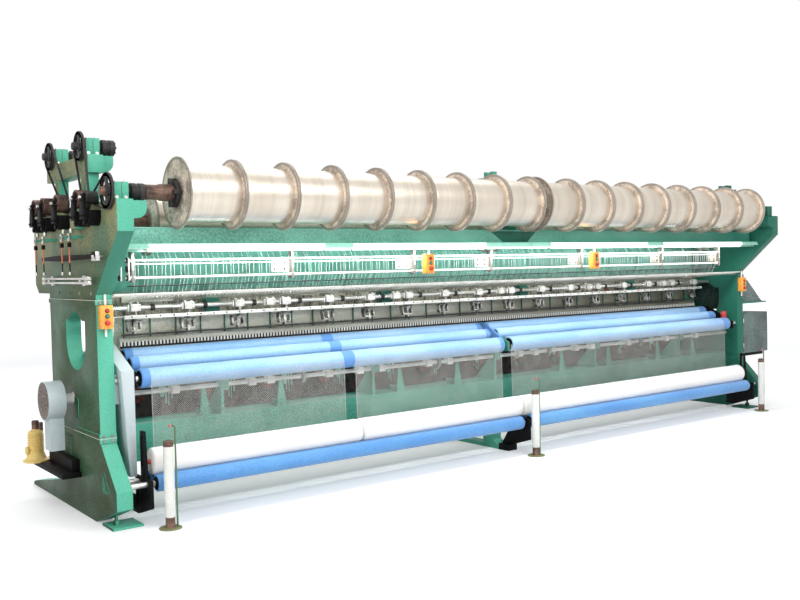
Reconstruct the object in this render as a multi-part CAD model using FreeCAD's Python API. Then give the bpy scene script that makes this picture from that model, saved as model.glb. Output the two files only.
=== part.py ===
import FreeCAD, Part
import math
import os

V = FreeCAD.Vector

# Warp-knitting machine for wide netting, in millimetres.
# X runs along the machine, -Y is the side where the net comes down, +Z is up.
# The origin lies on the floor, under the middle of the machine.

# ---------------------------------------------------------------- fits and facets
RUN_FIT = 0.05               # radial clearance of a running fit
SEAT_GAP = 0.3               # gap between faces of two bodies that lie together
LARGE_SIDES = 24             # flats on the spools, which repeat many times
ROLLER_SIDES = 28            # flats on the long rollers and the net rolls
SMALL_SIDES = 16             # flats on wheels, drums and couplings
BORE_SIDES = 8               # flats on small shafts and on the bores round them

# ---------------------------------------------------------------- warp beams
SECTIONS_PER_HALF = 8
SECTION_PITCH = 446.0        # one spool of warp, flange to flange
MIDDLE_GAP = 88.0            # room for the pedestal between the two halves
FLANGE_R = 266.5
FLANGE_T = 14.0
YARN_R = 212.0
SHAFT_R = 54.0
JOURNAL_R = 30.0
COUPLING_R = 62.0
COUPLING_L = 110.0
HUB_R = 92.0
HUB_L = 30.0
FRONT_AXIS = (-1000.0, 2430.0)
REAR_AXIS = (-400.0, 2250.0)
UPPER_FRONT_AXIS = (-447.0, 2800.0)
UPPER_REAR_AXIS = (286.0, 2800.0)
HALF_ROW = SECTIONS_PER_HALF * SECTION_PITCH + MIDDLE_GAP / 2

# ---------------------------------------------------------------- side frames
END_ROOM = 372.0             # end flange to side frame
FRAME_T = 120.0
FRAME_IN = HALF_ROW + END_ROOM
FRAME_OUT = FRAME_IN + FRAME_T
FACE_Y = -645.0              # front face of the column
BACK_Y = 470.0               # back face of the column
FOOT_Y = -940.0
SLED_FRONT_Y = -490.0
SLED_BACK_Y = 1135.0
HEAD_FRONT_Y = -1130.0
HEAD_BACK_Y = 850.0
BASE_TOP = 640.0
MIDDLE_TOP = 1660.0
HEAD_TOP = 2370.0
LIP = 9.0                    # joint flange standing proud of the castings
LIP_H = 34.0
WINDOW_Y = (-380.0, 70.0)
WINDOW_Z = (1115.0, 1500.0)
PAD_SIDE = 230.0
SHAFT_BURIED = 60.0          # length of a cross shaft inside a side frame

# ---------------------------------------------------------------- girders
GIRDER_Z = (2065.0, 2190.0)
GIRDER_LEDGE = 12.0
UPPER_FRONT_GIRDER_Y = (-820.0, -680.0)
UPPER_REAR_GIRDER_Y = (-110.0, 30.0)
LOWER_GIRDER_Z = (400.0, 690.0)
LOWER_FRONT_GIRDER_Y = (-470.0, -170.0)
LOWER_REAR_GIRDER_Y = (250.0, 430.0)
REAR_SHEET_T = 8.0
UPPER_SHEET_LOW = 1500.0     # lower edge of the sheet behind the yarns
LOWER_SHEET_TOP = 1090.0     # upper edge of the sheet behind the nets
CARRIER_Z = (2600.0, 2735.0)
CARRIER_Y = (-570.0, 430.0)
PEDESTAL_T = 64.0
HOUSING_HALF = 62.0
HOUSING_L = 100.0
OPEN_SEAT_TOP = 2790.0       # top of the half bearings that hold no beam

# ---------------------------------------------------------------- let-off, left end
WHEEL_R = 125.0
UPPER_WHEEL_R = 108.0
WHEEL_T = 20.0
WHEEL_GAP = 8.0              # frame to wheel
PULLEY_R = 48.0
DRUM_R = 70.0
DRUM_L = 90.0
DRUM_SHAFT_R = 12.0
DRUM_Z = 2400.0
PULLEY_Y = -760.0
DRUM_YS = (-560.0, -90.0, 270.0, 500.0)
GEARBOX_Z = (2200.0, DRUM_Z - DRUM_R - 20.0)
GEARBOX_HALF = 58.0
GEARBOX_LUG_T = 20.0
BELT_T = 5.0
LEVER_STUD_Y = -845.0
LEVER_STUD_R = 10.0
FEELER_YS = (-410.0, -233.0, 243.0, 450.0)
FEELER_X = (-FRAME_OUT - 112.0, -FRAME_OUT - 94.0)
FEELER_Z = (1850.0, 2160.0)
FEELER_ARM_Z = (2120.0, 2146.0)
LEVER_Z = 1980.0
LEVER_X = (-FRAME_OUT - 75.0, -FRAME_OUT - 45.0)
PUSH_ROD_R = 9.0
PUSH_ROD_ZS = (1790.0, 1822.0)
PUSH_ROD_X = -FRAME_OUT - 55.0
PUSH_ROD_Y = (-700.0, 440.0)
PUSH_GUIDE_YS = (-500.0, 260.0)
CLEVIS_YS = (-690.0, 360.0)
CLEVIS_HALF = 13.0
CLEVIS_L = 70.0

# ---------------------------------------------------------------- lamps, yarn guides
LAMP_PITCH = 4 * SECTION_PITCH + 1
LAMP_LENGTH = LAMP_PITCH - 285.0
LAMP_XS = (-1270.0 - LAMP_PITCH, -1270.0, 1100.0, 1100.0 + LAMP_PITCH)
LAMP_R = 13.0
LAMP_Y = -905.0
LAMP_Z = 2022.0
SHEET_T = 8.0
QUARTER = HALF_ROW / 2
HANGER_XS = (-HALF_ROW - 258.0, -QUARTER - 714.0, -QUARTER + 551.0, -315.0, QUARTER - 836.0,
             QUARTER + 509.0, HALF_ROW - 212.0)
TENSION_Y = -760.0
TENSION_ZS = (1948.0, 1818.0)
TENSION_R = 9.0
RAIL_Y = (-690.0, -630.0)
RAIL_Z = (1678.0, 1702.0)

# ---------------------------------------------------------------- knitting zone
KNIT_HALF = HALF_ROW + 148.0
ARM_COUNT = 17
ARM_PITCH = 2 * (KNIT_HALF - 104.0) / (ARM_COUNT - 1)
ARM_T = 26.0
CLAMP_HALF = 42.0            # half length of an arm's clamp on the shaft
GUIDE_AXIS = (-220.0, 1577.0)
GUIDE_SHAFT_R = 20.0
GUIDE_BAR_DROP = 206.0       # shaft to the top of the guide bar
GUIDE_BAR = (34.0, 14.0)     # depth and height
TIE_RAIL = 28.0
COMB_FRONT_Y = -170.0
COMB_T = 20.0
COMB_Z = (1200.0, 1340.0)
COMB_TEETH = 32
COMB_SLOT = 42.0
COMB_RAIL_Z = (1222.0, 1248.0)
COMB_BEAM_Z = (1090.0, 1240.0)
COMB_BEAM_D = 190.0
NEEDLE_T = 11.0
NEEDLE_CLEAR = 20.0          # needle bar over the beam
BACK_PANEL_TOP = 1500.0

# ---------------------------------------------------------------- take-down
ROLLER_HALF = HALF_ROW + 172.0
ROLLER_GAP = 110.0           # bare shaft at the middle hanger
ROLLER_JOURNAL_R = 22.0
JOURNAL_END = 8.0            # roller journal to side frame
ROLLER_A = (-279.0, 1205.0, 60.0)
ROLLER_B = (-414.0, 1148.0, 60.0)
ROLLER_C = (-608.0, 1057.0, 75.0)
BATCH_FRONT = (-878.0, 309.0, 65.0)
BATCH_REAR = (-720.0, 309.0, 65.0)
STAND_X = ROLLER_HALF + 60.0
STAND_T = 24.0
NET_ROLL_R = 102.0
ROLL_SPANS = ((-HALF_ROW - 180.0, -QUARTER - 124.0), (-QUARTER - 112.0, -20.0), (-8.0, HALF_ROW + 138.0))
CORE_R = 17.0
CORE_PROUD = 26.0
NET_T = 1.6
NET_BORDER = 14.0
NET_ROWS = 3
NET_PANELS = ((-HALF_ROW - 108.0, -QUARTER - 169.0, 5), (-QUARTER - 54.0, -115.0, 5),
              (15.0, HALF_ROW + 28.0, 10))

# ---------------------------------------------------------------- main drive
CAM_AXIS = (-470.0, 930.0)
CAM_SHAFT_R = 18.0
CAM_PITCH = 1515.0
CAM_XS = [CAM_PITCH * (i - 1.5) for i in range(4)]
CAM_R = 60.0
CAM_THROW = 14.0
CAM_SUPPORT_XS = [CAM_PITCH * (i - 2) for i in range(5)]
GUARD_AXIS = (-50.0, 886.0)
GUARD_R = 150.0
GUARD_X = (-FRAME_OUT - 231.0, -FRAME_OUT - 96.0)
REDUCER_AT = (-FRAME_OUT - 146.0, 495.0)
REDUCER_FLANGE_R = 105.0
PLATFORM_Z = (286.0, 325.0)

# ---------------------------------------------------------------- controls
BOX_W = 96.0
BOX_D = 62.0
BOX_H = 172.0
CONDUIT_R = 9.0
CONDUIT_UP = 80.0            # stub over an end box
CONDUIT_DOWN = 60.0          # stub under an end box
BUTTON_R = 11.0
MUSHROOM_R = 19.0
STEM_R = 8.0
BUTTON_PROUD = 10.0
MUSHROOM_PROUD = 22.0
MUSHROOM_T = 14.0
BUTTON_TRAVEL = 5.0
BUTTON_DEPTH = 8.0           # length of a button inside its box
BOX_PLACES = {               # middle of the back face of each control box
    "left": (-FRAME_IN - FRAME_T / 2, FACE_Y, 1538.0),
    "mid_left": (-1215.0, LAMP_Y, 1878.0),
    "mid_right": (985.0, LAMP_Y, 1878.0),
    "right": (FRAME_IN + FRAME_T / 2, FACE_Y, 1538.0),
}
BUTTONS = {                  # height over the middle of the box, radius in the box
    "start": (46.0, BUTTON_R),
    "creep": (6.0, BUTTON_R),
    "stop": (-42.0, STEM_R),
}
CABINET_X = (FRAME_OUT + LIP, FRAME_OUT + 556.0)
CABINET_Y = (-625.0, -330.0)
CABINET_Z = (662.0, 1170.0)
CABINET_WALL = 15.0
DOOR_T = 16.0
CONSOLE_X = (FRAME_OUT, FRAME_OUT + 466.0)
TRAY_X = (FRAME_OUT, FRAME_OUT + 536.0)
TRAY_Z = (1290.0, 1310.0)
CONSOLE_TOP = 1590.0
POST_XS = (-STAND_X + 96.0, -9.0, STAND_X + 27.0)
POST_Y = -1035.0
POST_DISC = (84.0, 9.0)      # radius and thickness
POST_SLEEVE_R = 38.0
POST_SLEEVE_TOP = 640.0
POST_ROD = 14.0
POST_ROD_TOP = 760.0
BEACON_R = 34.0              # red dome on the right roller arm
BEACON_Z = (1120.0, 1205.0)
BEACON_Y = -540.0


# ================================================================ small tools
def block(x, y, z):
    """Box between three (low, high) pairs."""
    return Part.makeBox(x[1] - x[0], y[1] - y[0], z[1] - z[0], V(x[0], y[0], z[0]))


def outline(corners, along):
    """Closed flat outline drawn out along a vector."""
    return Part.Face(Part.makePolygon(corners + corners[:1])).extrude(along)


def side_plate(points, x):
    """Outline of (y, z) points between two X places."""
    return outline([V(x[0], y, z) for y, z in points], V(x[1] - x[0], 0, 0))


def front_plate(points, y):
    """Outline of (x, z) points between two Y places."""
    return outline([V(x, y[0], z) for x, z in points], V(0, y[1] - y[0], 0))


def ring_points(r, sides, turn=0.0):
    """Corners of a regular polygon, the first one a part of a step off the first axis."""
    steps = [2 * math.pi * (k + turn) / sides for k in range(sides)]
    return [(r * math.cos(step), r * math.sin(step)) for step in steps]


def bar_x(x, y, z, r, sides=BORE_SIDES):
    """Facetted round bar along X."""
    return side_plate([(y + a, z + b) for a, b in ring_points(r, sides)], x)


def bar_y(x, y, z, r, sides=BORE_SIDES):
    """Facetted round bar along Y."""
    return front_plate([(x + a, z + b) for a, b in ring_points(r, sides)], y)


def bar_z(x, y, z, r, sides=BORE_SIDES):
    """Facetted round bar along Z."""
    return outline([V(x + a, y + b, z[0]) for a, b in ring_points(r, sides)], V(0, 0, z[1] - z[0]))


def bore_x(x, y, z, r, sides=BORE_SIDES):
    """Cutter whose flats just clear the corners of a shaft of radius r."""
    corners = ring_points((r + RUN_FIT) / math.cos(math.pi / sides), sides, 0.5)
    return side_plate([(y + a, z + b) for a, b in corners], x)


def turned_x(steps, y, z, sides=SMALL_SIDES):
    """Stepped facetted shaft; each step is (x from, x to, radius)."""
    return join([bar_x((a, b), y, z, r, sides) for a, b, r in steps])


def join(shapes):
    return shapes[0].multiFuse(shapes[1:]).removeSplitter()


def group(shapes):
    return Part.makeCompound(shapes)


def mirrored(shape):
    """The same piece for the right-hand end."""
    return shape.mirror(V(0, 0, 0), V(1, 0, 0))


def both_ends(shape):
    return group([shape, mirrored(shape)])


# ================================================================ side frames
def frame_x(proud=0.0):
    return (-FRAME_OUT - proud, -FRAME_IN)


def joint_lip(z):
    """Flange round the front and outer side of a casting where it meets the next one."""
    return block(frame_x(LIP), (FACE_Y - LIP, BACK_Y), z)


def base_casting():
    """Foot, sled and lower column of one side frame."""
    profile = [
        (SLED_BACK_Y, 0), (SLED_FRONT_Y, 0), (FOOT_Y, 160), (FOOT_Y, 296),
        (FACE_Y, BASE_TOP - LIP_H), (FACE_Y, BASE_TOP), (BACK_Y, BASE_TOP),
        (BACK_Y, 330), (310, 186), (1080, 42), (SLED_BACK_Y, 24),
    ]
    body = side_plate(profile, frame_x())
    vent = side_plate([(-655, 400), (-655, 255), (-768, 250)], frame_x())
    return join([body.cut(vent), joint_lip((BASE_TOP - LIP_H, BASE_TOP))])


def base_castings():
    return both_ends(base_casting())


def window_cut():
    """Window with a half-round sill, right through the column."""
    y0, y1 = WINDOW_Y
    r = (y1 - y0) / 2
    upper = block(frame_x(2 * LIP), WINDOW_Y, (WINDOW_Z[0] + r, WINDOW_Z[1]))
    start = V(frame_x(2 * LIP)[0], (y0 + y1) / 2, WINDOW_Z[0] + r)
    sill = Part.makeCylinder(r, FRAME_T + 2 * LIP, start, V(1, 0, 0))
    return join([upper, sill])


def buried_x():
    """Reach of a cross shaft's bore, from the inner face into the frame."""
    return (-FRAME_IN - SHAFT_BURIED - 1, -FRAME_IN)


def middle_casting():
    """Column between the foot and the head, with the window and two shaft bores."""
    body = block(frame_x(), (FACE_Y, BACK_Y), (BASE_TOP, MIDDLE_TOP))
    lips = [joint_lip((BASE_TOP, BASE_TOP + LIP_H)), joint_lip((MIDDLE_TOP - LIP_H, MIDDLE_TOP))]
    column = join([body] + lips).cut(window_cut())
    column = column.cut(bore_x(buried_x(), GUIDE_AXIS[0], GUIDE_AXIS[1], GUIDE_SHAFT_R))
    return column.cut(bore_x(buried_x(), CAM_AXIS[0], CAM_AXIS[1], CAM_SHAFT_R))


def middle_castings():
    return both_ends(middle_casting())


def head_casting():
    """Head that reaches forward under the front warp beam, with its beam cradle."""
    profile = [
        (FACE_Y, MIDDLE_TOP), (FACE_Y, MIDDLE_TOP + 40), (HEAD_FRONT_Y, 2146),
        (HEAD_FRONT_Y, HEAD_TOP), (HEAD_BACK_Y, HEAD_TOP), (HEAD_BACK_Y, 1770),
        (HEAD_BACK_Y - 80, MIDDLE_TOP + 40), (BACK_Y, MIDDLE_TOP + 40), (BACK_Y, MIDDLE_TOP),
    ]
    body = side_plate(profile, frame_x())
    shelf = cradle(HEAD_TOP - 10, (HEAD_FRONT_Y, HEAD_FRONT_Y + 190))
    seat = bore_x(frame_x(), REAR_AXIS[0], REAR_AXIS[1], JOURNAL_R)
    return join([body, shelf]).cut(seat)


def head_castings():
    return both_ends(head_casting())


def cradle(top, y):
    """Bracket on the inner side whose lower corner is rounded."""
    reach, depth, r = 96.0, 124.0, 70.0
    x0, x1, low = -FRAME_IN, -FRAME_IN + reach, top - depth
    quarter = [math.radians(22.5 * k) for k in range(5)]
    arc = [(x1 - r + r * math.sin(a), low + r - r * math.cos(a)) for a in quarter]
    return front_plate([(x0, low)] + arc + [(x1, top), (x0, top)], y)


def leveling_foot():
    """Square pad, nut and screw under the front of a side frame."""
    x, y = -FRAME_OUT + 65, -735.0
    pad = block((x - PAD_SIDE / 2 + 50, x + PAD_SIDE / 2 + 50), (y - PAD_SIDE / 2, y + PAD_SIDE / 2), (0, 18))
    nut = bar_z(x, y, (18, 48), 26, 6)
    screw = bar_z(x, y, (18, 130), 13)
    return [pad, join([nut, screw]).cut(base_casting())]


# ================================================================ girders
def upper_girders():
    """Box beams that carry the warp beams; a sheet hangs from the rear one."""
    x = (-FRAME_IN, FRAME_IN)
    pieces = []
    for y in (UPPER_FRONT_GIRDER_Y, UPPER_REAR_GIRDER_Y):
        web = block(x, y, (GIRDER_Z[0], GIRDER_Z[1] - GIRDER_LEDGE))
        cap = block(x, (y[0] - GIRDER_LEDGE, y[1]), (GIRDER_Z[1] - GIRDER_LEDGE, GIRDER_Z[1]))
        pieces.append(join([web, cap]))
    back = UPPER_REAR_GIRDER_Y[1]
    pieces[1] = join([pieces[1], block(x, (back - REAR_SHEET_T, back), (UPPER_SHEET_LOW, GIRDER_Z[0]))])
    return group(pieces)


def cam_support(x):
    """Gusset on the lower girder with a bearing block for the cam shaft."""
    y, z = CAM_AXIS
    front, back = LOWER_FRONT_GIRDER_Y
    top = LOWER_GIRDER_Z[1]
    foot = [(front, top), (front, z), (front + 60, z), (back, top)]
    gusset = side_plate(foot, (x - 13, x + 13))
    housing = block((x - 40, x + 40), (y - 36, y + 42), (z - 34, z + 36))
    return join([gusset, housing]).cut(bore_x((x - 40, x + 40), y, z, CAM_SHAFT_R))


def lower_girders():
    """Stretchers near the floor, with the cam shaft supports and the sheet behind the nets."""
    x = (-FRAME_IN, FRAME_IN)
    front = block(x, LOWER_FRONT_GIRDER_Y, LOWER_GIRDER_Z)
    rear = block(x, LOWER_REAR_GIRDER_Y, LOWER_GIRDER_Z)
    edge = LOWER_REAR_GIRDER_Y[0]
    sheet = block(x, (edge, edge + REAR_SHEET_T), (LOWER_GIRDER_Z[1], LOWER_SHEET_TOP))
    return group([join([front] + [cam_support(place) for place in CAM_SUPPORT_XS]), join([rear, sheet])])


def center_pedestal():
    """Plate in the middle gap that carries both beam rows and the upper half bearings."""
    x = (-PEDESTAL_T / 2, PEDESTAL_T / 2)
    fy, fz = FRONT_AXIS
    ry, rz = REAR_AXIS
    top = GIRDER_Z[1]
    arm_low, arm_top = CARRIER_Z
    profile = [
        (UPPER_FRONT_GIRDER_Y[0], top), (fy - 75, fz - 40), (fy - 75, fz + 75), (fy + 75, fz + 75),
        (CARRIER_Y[0], arm_low - 40), (CARRIER_Y[0], arm_top), (CARRIER_Y[1], arm_top),
        (CARRIER_Y[1], arm_low), (UPPER_REAR_GIRDER_Y[1], arm_low - 60), (UPPER_REAR_GIRDER_Y[1], top),
        (UPPER_REAR_GIRDER_Y[0] - GIRDER_LEDGE, top), (ry + 60, rz - 75), (ry - 60, rz - 75),
        (UPPER_FRONT_GIRDER_Y[1], top),
    ]
    plate = side_plate(profile, x)
    window = [(-650, 2480), (-560, 2400), (-300, 2420), (-130, 2520), (-200, 2560), (-560, 2560)]
    plate = plate.cut(side_plate(window, x))
    for y, z in (FRONT_AXIS, REAR_AXIS):
        plate = plate.cut(bore_x(x, y, z, SHAFT_R, SMALL_SIDES))
    return join([plate] + [open_seat(x, axis) for axis in (UPPER_FRONT_AXIS, UPPER_REAR_AXIS)])


def open_seat(x, axis):
    """Lower half of a bearing, with no cap and no beam in it."""
    y, z = axis
    half = block(x, (y - HOUSING_HALF, y + HOUSING_HALF), (CARRIER_Z[1], OPEN_SEAT_TOP))
    return half.cut(bore_x(x, y, z, JOURNAL_R))


def center_leg():
    """Cast leg under the middle of the lower girders, standing on its own sole."""
    x = (-60.0, 60.0)
    top = LOWER_GIRDER_Z[0]
    front, back = LOWER_FRONT_GIRDER_Y[0], LOWER_REAR_GIRDER_Y[1]
    profile = [(-560, 0), (-560, 30), (front, 90), (front, top), (back, top), (back, 90), (480, 30), (480, 0)]
    window = side_plate([(-330, 40), (-330, 220), (-250, 300), (200, 300), (280, 220), (280, 40)], x)
    return side_plate(profile, x).cut(window)


def machine_feet():
    """Everything the machine stands on besides the sleds of its side frames."""
    return group([center_leg()] + leveling_foot() + [mirrored(piece) for piece in leveling_foot()])


def upper_carrier():
    """Arm on two posts for the upper pair of beams, with two cradles."""
    arm = block(frame_x(), CARRIER_Y, CARRIER_Z)
    front_post = block((-FRAME_OUT, -FRAME_IN - 20), (-520, -400), (HEAD_TOP, CARRIER_Z[0]))
    rear_post = block((-FRAME_OUT, -FRAME_IN - 40), (130, 220), (HEAD_TOP, CARRIER_Z[0]))
    shelves = [cradle(CARRIER_Z[1], (axis[0] - HOUSING_HALF, axis[0] + HOUSING_HALF))
               for axis in (UPPER_FRONT_AXIS, UPPER_REAR_AXIS)]
    return join([arm, front_post, rear_post] + shelves)


def upper_carriers():
    return both_ends(upper_carrier())


# ================================================================ beam rows
def row_x(sign, index):
    """Middle of the flange pair number index, counted out from the middle gap."""
    return sign * (MIDDLE_GAP / 2 + index * SECTION_PITCH)


def flange_discs(axis, indices):
    """Back-to-back flanges between spools, single ones at the ends of each half."""
    discs = []
    for sign in (-1, 1):
        for i in indices:
            inward = 0.0 if i == 0 else FLANGE_T
            outward = 0.0 if i == SECTIONS_PER_HALF else FLANGE_T
            a, b = row_x(sign, i) - sign * inward, row_x(sign, i) + sign * outward
            discs.append(bar_x((min(a, b), max(a, b)), axis[0], axis[1], FLANGE_R, LARGE_SIDES))
    return discs


def yarn_packages(axis, step):
    """Wound warp between flanges that stand a number of sections apart."""
    packs = []
    for sign in (-1, 1):
        for i in range(0, SECTIONS_PER_HALF, step):
            a, b = sorted((row_x(sign, i), row_x(sign, i + step)))
            packs.append(bar_x((a + FLANGE_T, b - FLANGE_T), axis[0], axis[1], YARN_R, LARGE_SIDES))
    return packs


def front_flanges():
    return group(flange_discs(FRONT_AXIS, range(SECTIONS_PER_HALF + 1)))


def front_yarn():
    return group(yarn_packages(FRONT_AXIS, 1))


def coupling_x():
    return (-FRAME_IN + 20, -FRAME_IN + 20 + COUPLING_L)


def belt_wheel(axis, r):
    """Belt wheel outside the frame, with four windows between its spokes."""
    y, z = axis
    x = (-FRAME_OUT - WHEEL_GAP - WHEEL_T, -FRAME_OUT - WHEEL_GAP)
    wheel = bar_x(x, y, z, r, SMALL_SIDES + 4)
    for k in range(4):
        opening = side_plate([(-0.18 * r, 0.38 * r), (-0.34 * r, 0.78 * r), (0.34 * r, 0.78 * r),
                              (0.18 * r, 0.38 * r)], x)
        opening.rotate(V(0, 0, 0), V(1, 0, 0), 45 + 90 * k)
        opening.translate(V(0, y, z))
        wheel = wheel.cut(opening)
    return wheel


def front_beam_shaft():
    """Left shaft with belt wheel and coupling, middle journal and right shaft."""
    y, z = FRONT_AXIS
    c0, c1 = coupling_x()
    left = turned_x([(-FRAME_OUT - 70, c0, JOURNAL_R), (c0, c1, COUPLING_R), (c1, -HALF_ROW - HUB_L, SHAFT_R),
                     (-HALF_ROW - HUB_L, -HALF_ROW, HUB_R)], y, z)
    left = join([left, belt_wheel(FRONT_AXIS, WHEEL_R)])
    return group([left] + plain_shafts(FRONT_AXIS))


def plain_shafts(axis):
    """Middle and right-hand shaft pieces of a row."""
    y, z = axis
    step = -coupling_x()[0]
    middle = bar_x((-MIDDLE_GAP / 2, MIDDLE_GAP / 2), y, z, SHAFT_R, SMALL_SIDES)
    right = turned_x([(HALF_ROW, step, SHAFT_R), (step, FRAME_OUT - 10, JOURNAL_R)], y, z)
    return [middle, right]


def rear_spools():
    """Rear row: shaft pieces and the end flanges of both halves."""
    middle, right = plain_shafts(REAR_AXIS)
    return group([middle, right, mirrored(right)] + flange_discs(REAR_AXIS, (0, SECTIONS_PER_HALF)))


def rear_yarn():
    return group(yarn_packages(REAR_AXIS, SECTIONS_PER_HALF))


def upper_stub(axis):
    """Belt wheel, journal and open coupling that wait for an upper beam."""
    y, z = axis
    c0, c1 = coupling_x()
    turned = turned_x([(-FRAME_OUT - 70, c0, JOURNAL_R), (c0, c1, COUPLING_R)], y, z)
    slot = block((c1 - 70, c1), (y - 16, y + 16), (z, z + COUPLING_R + 1))
    return join([turned.cut(slot), belt_wheel(axis, UPPER_WHEEL_R)])


def split_housing(axis, seat):
    """Bearing housing on its seat, with the joint of its two halves showing."""
    y, z = axis
    x = (-FRAME_IN - 5 - HOUSING_L, -FRAME_IN - 5)
    middle = (x[0] + x[1]) / 2
    body = block(x, (y - HOUSING_HALF, y + HOUSING_HALF), (seat, z + HOUSING_HALF))
    seam = block((middle - 2, middle + 2), (y - HOUSING_HALF, y - HOUSING_HALF + 5), (seat, z + HOUSING_HALF))
    return body.cut(seam).cut(bore_x(x, y, z, JOURNAL_R))


def beam_bearings():
    """Housings on the heads and the left carrier, half bearings on the right carrier."""
    front = split_housing(FRONT_AXIS, HEAD_TOP)
    uppers = (UPPER_FRONT_AXIS, UPPER_REAR_AXIS)
    closed = [split_housing(axis, CARRIER_Z[1]) for axis in uppers]
    x = (FRAME_IN + 5, FRAME_IN + 5 + HOUSING_L)
    return group([front, mirrored(front)] + closed + [open_seat(x, axis) for axis in uppers])


# ================================================================ let-off
def letoff_gearboxes():
    """Gearboxes on the outer side of the left head; each lug holds a drum shaft."""
    x1 = -FRAME_OUT
    outer = x1 - WHEEL_GAP - DRUM_L
    boxes = []
    for y in (PULLEY_Y,) + DRUM_YS:
        case = block((outer - 2, x1), (y - GEARBOX_HALF, y + GEARBOX_HALF), GEARBOX_Z)
        x = (outer - 2 - GEARBOX_LUG_T, outer - 2)
        low, top, half = GEARBOX_Z[0] + 30, GEARBOX_Z[1], GEARBOX_HALF - 10
        lug = side_plate([(y - half, low), (y - half, top), (y - 24, DRUM_Z + 24), (y + 24, DRUM_Z + 24),
                          (y + half, top), (y + half, low)], x)
        boxes.append(join([case, lug]).cut(bore_x(x, y, DRUM_Z, DRUM_SHAFT_R)))
    y, z = REAR_AXIS
    boxes.append(block((x1 - 70, x1), (y - 60, y + 60), (z - 60, z + 50)))
    return group(boxes + linkage_lugs())


def letoff_drum(y, r=DRUM_R):
    """Belt drum and its shaft."""
    outer = -FRAME_OUT - WHEEL_GAP - DRUM_L
    drum = bar_x((outer, outer + DRUM_L), y, DRUM_Z, r, SMALL_SIDES)
    return join([drum, bar_x((outer - 40, outer), y, DRUM_Z, DRUM_SHAFT_R)])


def belt(axis, r0, y1, r1):
    """Flat belt from a beam wheel down to its let-off drum."""
    x = (-FRAME_OUT - WHEEL_GAP - WHEEL_T + 2, -FRAME_OUT - WHEEL_GAP - 2)
    outer = side_plate(belt_loop(axis, r0 + SEAT_GAP + BELT_T, y1, r1 + SEAT_GAP + BELT_T), x)
    return outer.cut(side_plate(belt_loop(axis, r0 + SEAT_GAP, y1, r1 + SEAT_GAP), x))


def belt_loop(axis, r0, y1, r1, turns=9):
    """Corners round two pulleys; every side of the loop is a tangent."""
    y0, z0 = axis
    heading = math.atan2(DRUM_Z - z0, y1 - y0)
    lean = math.acos((r0 - r1) / math.hypot(y1 - y0, DRUM_Z - z0))
    points = []
    for y, z, r, start, sweep in ((y0, z0, r0, heading + lean, 2 * (math.pi - lean)),
                                  (y1, DRUM_Z, r1, heading - lean, 2 * lean)):
        step = sweep / turns
        for k in range(turns):
            angle, far = start + (k + 0.5) * step, r / math.cos(step / 2)
            points.append((y + far * math.cos(angle), z + far * math.sin(angle)))
    return points


def drive_belts():
    return group([belt(FRONT_AXIS, WHEEL_R, PULLEY_Y, PULLEY_R),
                  belt(UPPER_FRONT_AXIS, UPPER_WHEEL_R, DRUM_YS[0], DRUM_R),
                  belt(UPPER_REAR_AXIS, UPPER_WHEEL_R, DRUM_YS[1], DRUM_R)])


def pattern_lever():
    """Long black rocking bar with its bright end plate, on a stud of its own."""
    y0, z = LEVER_STUD_Y + 45, LEVER_Z
    profile = [(y0, z - 16), (y0, z + 16), (0, z + 22), (400, z + 12), (400, z - 12), (0, z - 22)]
    bar = side_plate(profile, LEVER_X)
    plate = block(LEVER_X, (y0 - 90, y0), (z - 32, z + 32))
    return join([bar, plate]).cut(bore_x(LEVER_X, LEVER_STUD_Y, z, LEVER_STUD_R))


def push_rods():
    """Two bright rods with clevises that slide along the head."""
    rods = []
    half = CLEVIS_HALF
    x = (PUSH_ROD_X - half, PUSH_ROD_X + half)
    for z in PUSH_ROD_ZS:
        clevises = [block(x, (y, y + CLEVIS_L), (z - half, z + half)) for y in CLEVIS_YS]
        rods.append(join([bar_y(PUSH_ROD_X, PUSH_ROD_Y, z, PUSH_ROD_R)] + clevises))
    return group(rods)


def linkage_lugs():
    """Lugs on the left head for the push rods, the lever stud and the feeler rods."""
    z0, z1 = PUSH_ROD_ZS
    lugs = []
    for y in PUSH_GUIDE_YS:
        lug = block((PUSH_ROD_X - 14, -FRAME_OUT), (y - 16, y + 16), (z0 - 22, z1 + 22))
        for z in PUSH_ROD_ZS:
            slot = PUSH_ROD_R + SEAT_GAP
            lug = lug.cut(block((PUSH_ROD_X - 14, PUSH_ROD_X + slot), (y - 16, y + 16), (z - slot, z + slot)))
        lugs.append(lug)
    lugs.append(bar_x((LEVER_X[0] - 12, -FRAME_OUT), LEVER_STUD_Y, LEVER_Z, LEVER_STUD_R))
    for y in FEELER_YS:
        stem = block(FEELER_X, (y - 9, y + 9), FEELER_Z)
        arm = block((FEELER_X[0], -FRAME_OUT), (y - 12, y + 12), FEELER_ARM_Z)
        lugs.append(join([stem, arm]))
    return lugs


# ================================================================ lamps, yarn guides
def lamp_trough():
    """Reflector strip under the front girder."""
    front = UPPER_FRONT_GIRDER_Y[0]
    top = GIRDER_Z[0]
    profile = [(front + 20, top), (front - 110, top), (front - 124, LAMP_Z + 6), (front - 118, LAMP_Z + 4),
               (front - 105, top - SHEET_T), (front + 20, top - SHEET_T)]
    return side_plate(profile, (-FRAME_IN + 10, FRAME_IN - 10))


def lamps():
    """Trough with four tubes, each between its end holders."""
    pieces = [lamp_trough()]
    reach = LAMP_LENGTH / 2
    for x in LAMP_XS:
        for a, b in ((x - reach - 20, x - reach), (x + reach, x + reach + 20)):
            pieces.append(block((a, b), (LAMP_Y - 14, LAMP_Y + 14), (LAMP_Z - 16, GIRDER_Z[0] - SHEET_T)))
        pieces.append(bar_x((x - reach, x + reach), LAMP_Y, LAMP_Z, LAMP_R))
    return group(pieces)


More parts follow.
